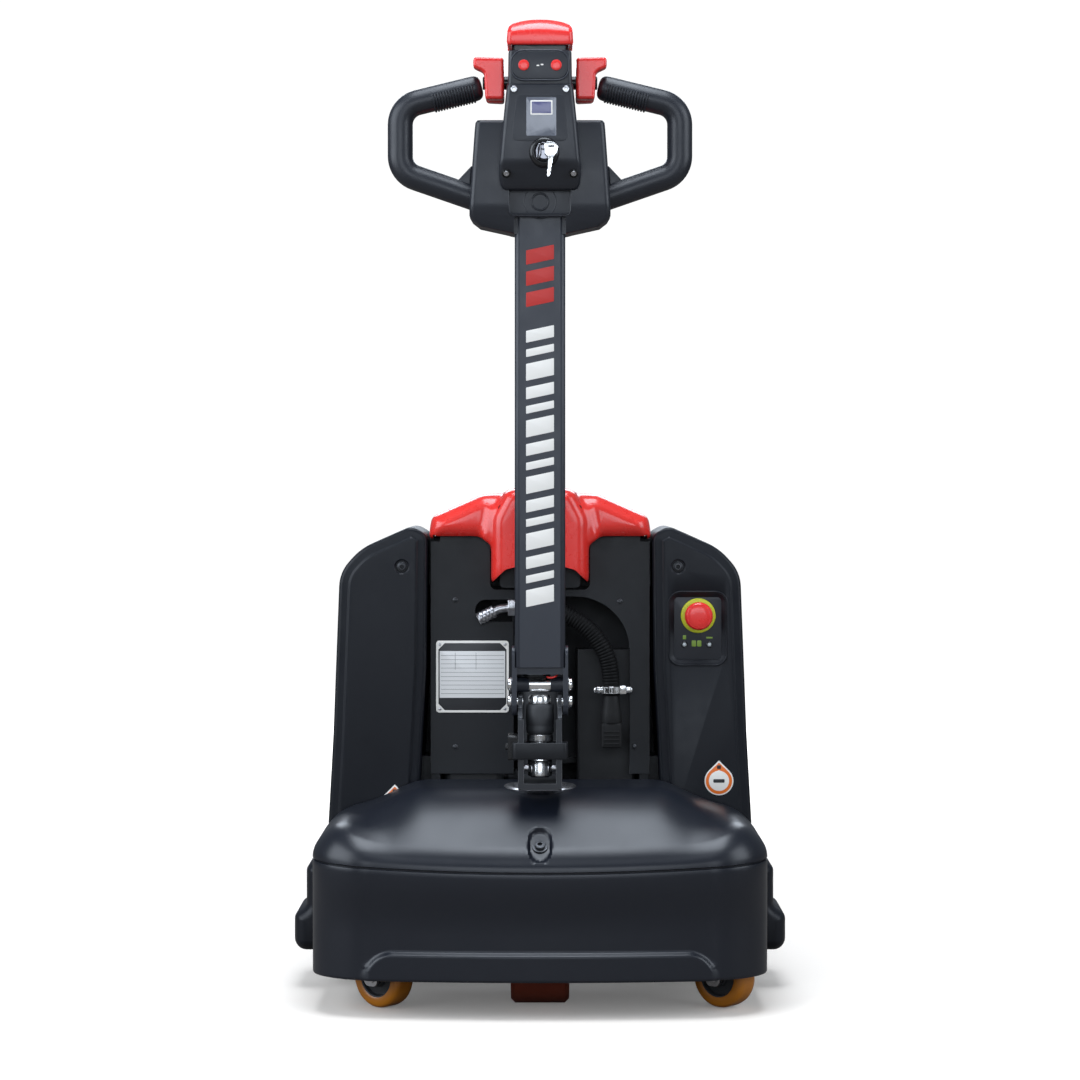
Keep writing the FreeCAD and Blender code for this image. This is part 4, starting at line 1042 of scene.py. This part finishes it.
def make_throttle():
    add_piece("throttle_wings", [throttle_mesh(), mirrored(throttle_mesh())], "control_red",
        "throttle_wings", "throttle", smooth=60)


def grip_rib(centre, along, size, reach):
    """Short raised arc round the front and underside of the grip."""
    down = along.cross(Vector((0, 1, 0))).normalized()
    if down.z > 0:
        down = -down
    front = Vector((0, -1, 0))
    points = []
    for k in range(13):
        angle = math.radians(-12 + 130 * k / 12)
        points.append(centre + (front * math.cos(angle) + down * math.sin(angle)) * reach)
    return swept(points, size, 8)


def handle_mesh():
    """Loop with a rounded nose at its free end, ribs under the grip and a gusset."""
    path = turned_path([(69, TILT_Y, 1100.5), (166, TILT_Y, 1077), (166, TILT_Y, 999),
        (79, TILT_Y, 969)], [27, 27])
    start = path[0]
    along = (path[1] - start).normalized()
    nose = [(0, 6.5), (0.8, 9.8), (2.6, 12.6), (5.6, 14.4), (9.5, HANDLE_R)]
    loop = swept([start + along * d for d, _ in nose] + path[1:],
        lambda i: nose[i][1] if i < len(nose) else HANDLE_R, 32)
    ribs = [grip_rib(start + along * (12.0 + 3.4 * k), along, 1.35, HANDLE_R + 0.4)
        for k in range(15)]
    gusset = slab([(80, 1008), (84, 955), (114, 972)], [1, 2, 3], -706, -694, 2)
    return joined([loop, *ribs, gusset])


def make_handles():
    add_pair("handle_skin", handle_mesh, "head_plastic", "tiller", "handle", 50)
    shaft = turned(symmetric([(68, 7), (67.5, 7.9)]), (0, TILT_Y, SHAFT_Z), X_AXIS, 28)
    add_piece("throttle_shaft", shaft, "button_black", "tiller")


def make_key():
    """Lock barrel with a key on edge in it, and its twin hanging flat from the ring."""
    face = POD_FACE
    barrel = turned([(8, 8.8), (-5.6, 8.9), (-6.6, 8.2), (-6.8, 3)], (KEY_X, face, KEY_Z),
        Y_AXIS, 40)
    edge_bow = slab([(-4.2, 1008), (-5, 1018), (-1.8, 1026), (1.4, 1026), (1.8, 1014),
        (-1, 1007)], 3, face - 6.5, face - 12.5, 1.4)
    ring = swept([(4.0 + 5.0 * math.cos(a), face - 12.5 - 2.0 * math.sin(a),
        1023 + 3.4 * math.sin(a)) for a in full_turn(28)], 0.5, 8, closed=True)
    add_piece("key_lock", [barrel, edge_bow, ring], "dark_chrome", "key_switch", "key", smooth=36)
    outline = [(5, 1025.5), (8, 1028), (17.5, 1026.8), (21.5, 1022), (20, 1015), (15.4, 1009.5),
        (9.6, 1009.5), (5.6, 1014)]
    bow = slab(outline, [2, 2, 3, 2, 3, 1, 1, 2], face - 12.5, face - 14.7, 0.5)
    slot = slab(rectangle(9.2, 17, 1021.2, 1023.4), 0.8, face - 11, face - 17, 0.2)
    teeth = [(9.8, 1010.5), (15, 1010.5), (14.6, 1003), (13.4, 1001.6), (14, 999),
        (12.6, 997), (13.2, 994.4), (12, 992.6), (12.4, 990), (10.6, 987), (9, 986.6),
        (7.8, 989), (8.8, 991.4), (8.2, 993.6), (9.2, 996)]
    blade = slab(teeth, 0.3, face - 12.8, face - 14.4, 0.3)
    add_piece("key_spare", [carved(bow, [slot]), blade], "chrome", "key_switch", smooth=36)


STRIPE_HALF = 16.5
STRIPE_LEAN = 7.0
RED_START, RED_HEIGHT, RED_PITCH = 838, 17, 25
WHITE_START, WHITE_HEIGHTS, WHITE_GAP = 483, (20, 9, 14), 8


def stripe(z, height):
    """Slanted bar on the tube's front."""
    front = corners("tiller_tube")[0][1]
    half, top = STRIPE_HALF, z + height
    outline = [(-half, z), (half, z + STRIPE_LEAN), (half, top + STRIPE_LEAN), (-half, top)]
    return slab(outline, 0.6, front + 0.1, front - 0.22, 0.06)


def make_tiller_stripes():
    """Plain stripes printed on the tube's front: three red, the rest white."""
    red = [stripe(RED_START + RED_PITCH * k, RED_HEIGHT) for k in range(3)]
    add_piece("tiller_stripes_red", red, "print_red", "tiller")
    white, z = [], WHITE_START
    for height in WHITE_HEIGHTS * 5:
        white.append(stripe(z, height))
        z += height + WHITE_GAP
    add_piece("tiller_stripes_white", white, "print_white", "tiller")


# ---------------------------------------------------------------- tilt bracket and strut

EYE_Z = 390.0
PIN_Z = 370.0
FOOT_Z = 290.0
HARNESS = (("harness_loop", "conduit", 2.2,
        ((-19, -704, 402), (-14, -713, 399), (-5, -716, 400.5), (4, -714, 398.8),
            (12, -705, 402))),
    ("harness_wire", "wire_red", 1.1,
        ((5, -704, 402), (8, -713, 399.4), (14, -716, 398.6), (20, -714, 400.8),
            (22, -704, 404))))


def make_bracket():
    """Domed bolt heads, the strut's sleeve, rings, collar and band, and a harness loop."""
    bolt = [(0, 6), (0.2, 8.6), (1.4, 8.8), (2.2, 7.4), (4.4, 7.2), (5.6, 5.6), (6, 3)]
    pin = [(-13.2, 5.9), (0, 5.9), (0.2, 8.4), (1.4, 8.6), (2.2, 7.2), (4.4, 7), (5.4, 5.6),
        (5.8, 3)]
    bolts = [turned(bolt, (side * 33.2, TILT_Y, EYE_Z), (side, 0, 0), 32) for side in (-1, 1)]
    add_piece("eye_bolts", bolts, "chrome", "tiller")
    pins = [turned(pin, (side * 33.4, TILT_Y, PIN_Z), (side, 0, 0), 32) for side in (-1, 1)]
    add_piece("tilt_pin_bolts", pins, "chrome", "steering", "tilt_pins")
    bush = turned(symmetric([(13.4, 7.4), (13.4, 8.6), (12.6, 9.4)]), (0, TILT_Y, EYE_Z),
        X_AXIS)
    add_piece("strut_eye_bush", bush, "chrome", "tiller")

    centre = (0, TILT_Y, 0)
    cap = turned([(367, 9.5), (367, 12.9), (368, 13.6), (374, 13.6), (376, 13), (378, 10.5),
        (378.6, 6)], centre, Z_AXIS)
    ring = turned([(322.2, 11.3), (322.2, 14.6), (323.2, 15.6), (330.4, 15.6), (331.4, 14.8),
        (331.4, 11.3)], centre, Z_AXIS, 56, close=True)
    add_piece("strut_caps", [cap, ring], "chrome", "strut_top", "strut_upper")
    sleeve = turned([(331.5, 11.3), (331.5, 15.2), (333, 16.3), (337, 16.7), (341, 16.2),
        (342, 16.2), (344, 16.8), (352, 17), (362, 16.7), (365.5, 16.2), (367, 15),
        (367.4, 11.3)], centre, Z_AXIS, 56, close=True)
    add_piece("strut_sleeve", sleeve, "cast_grey", "strut_top", smooth=50)
    tube = turned([(283, 9), (284, 11), (292, 11.1), (339, 11.1), (339.4, 9)], centre,
        Z_AXIS)
    foot = (0, TILT_Y, FOOT_Z)
    eye = turned(symmetric([(11, 8), (11, 10.6), (10.2, 11.2)]), foot, X_AXIS, 40)
    foot_pin = turned(symmetric([(20.4, 3.2), (20, 3.9)]), foot, X_AXIS, 24)
    add_piece("strut_rod_skin", [tube, eye, foot_pin], "zinc_steel", "strut_base", "strut_lower")
    collar = turned([(281, 9), (281, 13.6), (282, 14.5), (300, 14.5), (301, 13.8),
        (302.4, 11)], centre, Z_AXIS, 56)
    add_piece("strut_collar", collar, "chrome", "strut_base", smooth=36)
    outside = slab([(-33, -731), (33, -731), (33, -702), (-33, -723.4)], [6, 6, 1, 1], 303,
        322.6, 1.2, "xy")
    inside = slab(rectangle(-26.2, 26.2, -727.3, -660), [2, 2, 0, 0], 290, 335, 0.2, "xy")
    add_piece("strut_band", carved(outside, [inside]), "frame_paint", "steering")

    for name, paint, radius, points in HARNESS:
        wire = swept(curve_points(points, 1.5), radius, 10)
        add_piece(name, wire, paint, "tiller", smooth=60)


# ---------------------------------------------------------------- conduit

CONDUIT = [(-24, -547, 475), (8, -547, 475), (38, -547, 465), (64, -547, 446), (82, -547, 420),
    (89, -547, 393), (89, -547, 365)]


def make_conduit():
    """Split corrugated sleeve: a ridge every four millimetres."""
    ridge = (10.1, 10.8, 11, 10.8)
    path = curve_points(CONDUIT, 1.0)
    sleeve = swept(path, lambda i: ridge[i % 4], 28)
    add_piece("conduit_skin", sleeve, "conduit", "chassis", "conduit", smooth=60)

    x, y, _ = CONDUIT[-1]
    clamp = (x, y - 3, 372.5)
    band = turned([(368, 11.1), (368, 13), (368.6, 13.7), (376.4, 13.7), (377, 13), (377, 11.1)],
        (x, y, 0), Z_AXIS, 48, close=True)
    housing = slab(rectangle(x + 9, x + 19, 367, 378), 2, y - 8, y + 4, 1.5)
    screw = turned([(17, 3.6), (19, 4.4), (24, 4.4), (25.4, 3.8), (25.6, 1.8), (24, 1.6)], clamp,
        X_AXIS, 28)
    tail = turned([(-21.5, 4.4), (-20.4, 5), (-14, 5.2), (-12, 4)], clamp, X_AXIS, 28)
    add_piece("hose_clamp", [band, housing, screw, tail], "chrome", "chassis", "conduit_clamp")
    slots = [slab(rectangle(x - 11 + 3 * k, x - 9.6 + 3 * k, 369.5, 375.5), 0.5, y - 12.5,
        y - 14.1, 0.2) for k in range(5)]
    add_piece("hose_clamp_slots", slots, "button_black", "chassis")

    boot = turned([(365, 9.4), (358, 10.4), (345, 12.4), (333, 13.6), (331.5, 13.2), (331, 11)],
        (x, y, 0), Z_AXIS, 40)
    plug = slab(rectangle(x - 12.5, x + 12.5, 300.5, 331.5), 3, y - 12, y + 12, 2)
    lead = slab(rectangle(x - 8.5, x + 8.5, 304.5, 325.5), 3, y + 10, -500)
    grooves = [slab(rectangle(x - 9.5, x + 9.5, z, z + 2), 0.6, y - 11.5, y - 13, 0.4)
        for z in (305, 310, 315, 320)]
    add_piece("conduit_boot_skin", [boot, plug, lead, *grooves], "boot_rubber", "chassis",
        "conduit_boot", smooth=40)


def make_hose_fitting():
    """Hexagon nut, swept elbow and a ribbed crimp ferrule pointing down into the slot."""
    end, y, z = CONDUIT[0]
    hexagon = [(y + 11.4 * math.cos(a), z + 11.4 * math.sin(a)) for a in full_turn(6)]
    nut = slab(hexagon, 0.8, end - 16, end - 3, 1.2, "yz")
    gland = turned([(-4, 12), (-3, 12.6), (4, 12.6), (5, 11.6)], (end, y, z), X_AXIS, 40)
    route = [(end - 14, y, z), (end - 24, y, z - 0.5), (end - 36, y, z - 6), (end - 50, y, z - 13)]
    line = curve_points(route, 1.0)
    elbow = swept(line, 5.4, 24)
    along = (line[-1] - line[-4]).normalized()
    profile = [(-14, 5), (-13.4, 7.4)]
    for k in range(4):
        profile += [(-12 + 5 * k, 8.0), (-10 + 5 * k, 8.0), (-9.4 + 5 * k, 7.3), (-8 + 5 * k, 7.3)]
    profile += [(8, 8.2), (9, 7.4), (9.2, 4)]
    ferrule = turned(profile, line[-6], along, 40)
    add_piece("hose_fitting_skin", [nut, elbow, ferrule], "zinc_steel", "chassis", "hose_fitting",
        smooth=36)
    add_piece("hose_gland", gland, "button_black", "chassis")


# ---------------------------------------------------------------- data plate

def make_data_plate():
    """Rating plate with a ruled form and no wording."""
    (x0, front, z0), (x1, back, z1) = corners("data_plate")
    rim = slab(rectangle(x0, x1, z0, z1), 4, back, front, 0.3)
    add_piece("data_plate_rim", rim, "print_white", "chassis", "data_plate")
    outline = [(x0 + 11, z0 + 3), (x1 - 11, z0 + 3), (x1 - 3, z0 + 11), (x1 - 3, z1 - 11),
        (x1 - 11, z1 - 3), (x0 + 11, z1 - 3), (x0 + 3, z1 - 11), (x0 + 3, z0 + 11)]
    field = slab(outline, 0, front + 0.1, front - 0.15, 0.05)
    add_piece("data_plate_field", field, "print_dark", "chassis")
    form = slab(rectangle(x0 + 4.5, x1 - 4.5, z0 + 18.5, z1 - 13), 0.5, front + 0.1,
        front - 0.3, 0.05)
    add_piece("data_plate_form", form, "plate_print", "chassis")
    rows = 11
    heights = [z0 + 18.5 + (z1 - z0 - 31.5) * k / rows for k in range(1, rows)]
    lines = [rectangle(x0 + 6, x1 - 6, z - 0.18, z + 0.18) for z in heights]
    lines += [rectangle(x - 0.18, x + 0.18, z1 - 36, z1 - 15) for x in (x0 + 24, x0 + 50)]
    rules = [slab(line, 0, front, front - 0.42, 0.02) for line in lines]
    add_piece("data_plate_rules", rules, "print_dark", "chassis")
    rivets = [turned([(0, 1.9), (-0.7, 1.7), (-1.1, 0.8)], (x, front - 0.1, z), Y_AXIS, 20)
        for x in (x0 + 4.6, x1 - 4.6) for z in (z0 + 4.6, z1 - 4.6)]
    add_piece("data_plate_rivets", rivets, "zinc_steel", "chassis")
    panel_front = corners("centre_panel")[0][1]
    studs = [turned([(0.5, 3.4), (-0.6, 3.2), (-1.4, 2.2), (-1.7, 0.8)], (x, panel_front, z),
        Y_AXIS, 24) for x, z in ((-106, 484), (100, 482), (-106, 300), (118, 300))]
    add_piece("centre_panel_rivets", studs, "dark_steel", "chassis")


# ---------------------------------------------------------------- lift frame

def make_frame_details():
    """Weld beads where forks meet the back plate, its screws and three pressed ribs."""
    fork_low, fork_high = corners("fork_right")
    heel = fork_low[1]
    beads = []
    for side in (-1, 1):
        start = Vector((side * (fork_low[0] + 1.0), heel + 1.2, fork_high[2] + 1.2))
        end = Vector((side * (fork_high[0] - 20.0), start.y, start.z))
        beads.append(swept([start.lerp(end, k / 60) for k in range(61)],
            lambda i: 3.0 + 0.5 * (i % 2), 10))
    add_piece("heel_welds", beads, "frame_paint", "lift_carriage", smooth=60)
    head = [(-2, 3), (0, 8.5), (0.8, 8.8), (1.6, 8), (2, 6.4), (4.4, 6), (5.4, 4.8),
        (5.4, 2.6), (3, 2.4)]
    screws = [turned(head, (x, heel, z), Y_AXIS, 32)
        for x, z in ((-212, 470), (212, 470), (-232, 300), (232, 300), (-232, 150), (232, 150))]
    add_piece("back_plate_screws", screws, "dark_steel", "lift_carriage")
    rise = [(-1.5, heel - 1), (0, heel + 0.6), (1.6, heel + 2.6), (4.0, heel + 3.6),
        (7.0, heel + 4.0)]
    ribs = [plate(rectangle(x - 9, x + 9, 130, 440), 8.5, rise) for x in (-130, 0, 130)]
    add_piece("back_plate_ribs", ribs, "frame_paint", "lift_carriage", smooth=50)


# ---------------------------------------------------------------- casters and wheels

def make_wheel(name, joint_name, body, width, radius, tyre_paint, replaced):
    """Cast hub with a dished web and a rounded tread."""
    joint = next(joint for joint in frame["joints"] if joint["name"] == joint_name)
    centre = Vector(joint["pos_m"]) / MM
    axis = Vector(joint["axis"])
    half = width / 2
    tread = [(half - 0.5, radius * 0.66), (half, radius * 0.7), (half, radius - 5.0),
        (half - 1.2, radius - 2.4), (half - 3.4, radius - 0.7), (half - 7.0, radius)]
    tyre = turned(symmetric(tread), centre, axis, 72, close=True)
    add_piece(name + "_tyre", tyre, tyre_paint, body, replaced, smooth=40)
    rim = [(half - 1.0, 6.2), (half - 1.0, 11.0), (half - 2.0, 12.0), (half - 5.5, 12.6),
        (half - 6.0, radius * 0.58), (half - 1.4, radius * 0.62), (half - 0.8, radius * 0.67)]
    hub = turned(symmetric(rim), centre, axis, 56, close=True)
    add_piece(name + "_hub", hub, "cast_grey", body, smooth=36)


def make_wheels():
    for side in ("left", "right"):
        make_wheel("caster_" + side, "caster_spin_" + side, "caster_" + side, 30.0, 37.5,
            "caster_tyre", "caster_wheel_" + side)
        make_wheel("load_" + side, "roller_spin_" + side, "roller_" + side, 70.0, 37.0,
            "load_tyre", "load_wheel_" + side)


# ---------------------------------------------------------------- finishes for the CAD nodes

def dress_frame():
    """Give every CAD node its finish, with its edges broken by a small bevel."""
    for entry in frame["record"]["subparts"]:
        node = frame["nodes"][entry["node"]]
        paint = FINISHES[entry["material_slot"]]
        if not node.material_slots:
            node.data.materials.append(paint)
        for holder in node.material_slots:
            holder.material = paint
        weld = node.modifiers.new("weld", "WELD")
        weld.merge_threshold = 0.00001
        edge = node.modifiers.new("edge", "BEVEL")
        edge.width = 0.0006
        edge.segments = 2
        edge.limit_method = "ANGLE"
        edge.angle_limit = math.radians(40)
        edge.harden_normals = False


make_camera()
make_floor()
make_lights()
dress_frame()
make_drive_cover()
make_side_panels()
make_bumpers()
make_stop_switch()
make_badges()
make_hood()
make_head_housing()
make_head_pod()
make_head_controls()
make_belly_button()
make_throttle()
make_handles()
make_key()
make_tiller_stripes()
make_bracket()
make_conduit()
make_hose_fitting()
make_data_plate()
make_frame_details()
make_wheels()
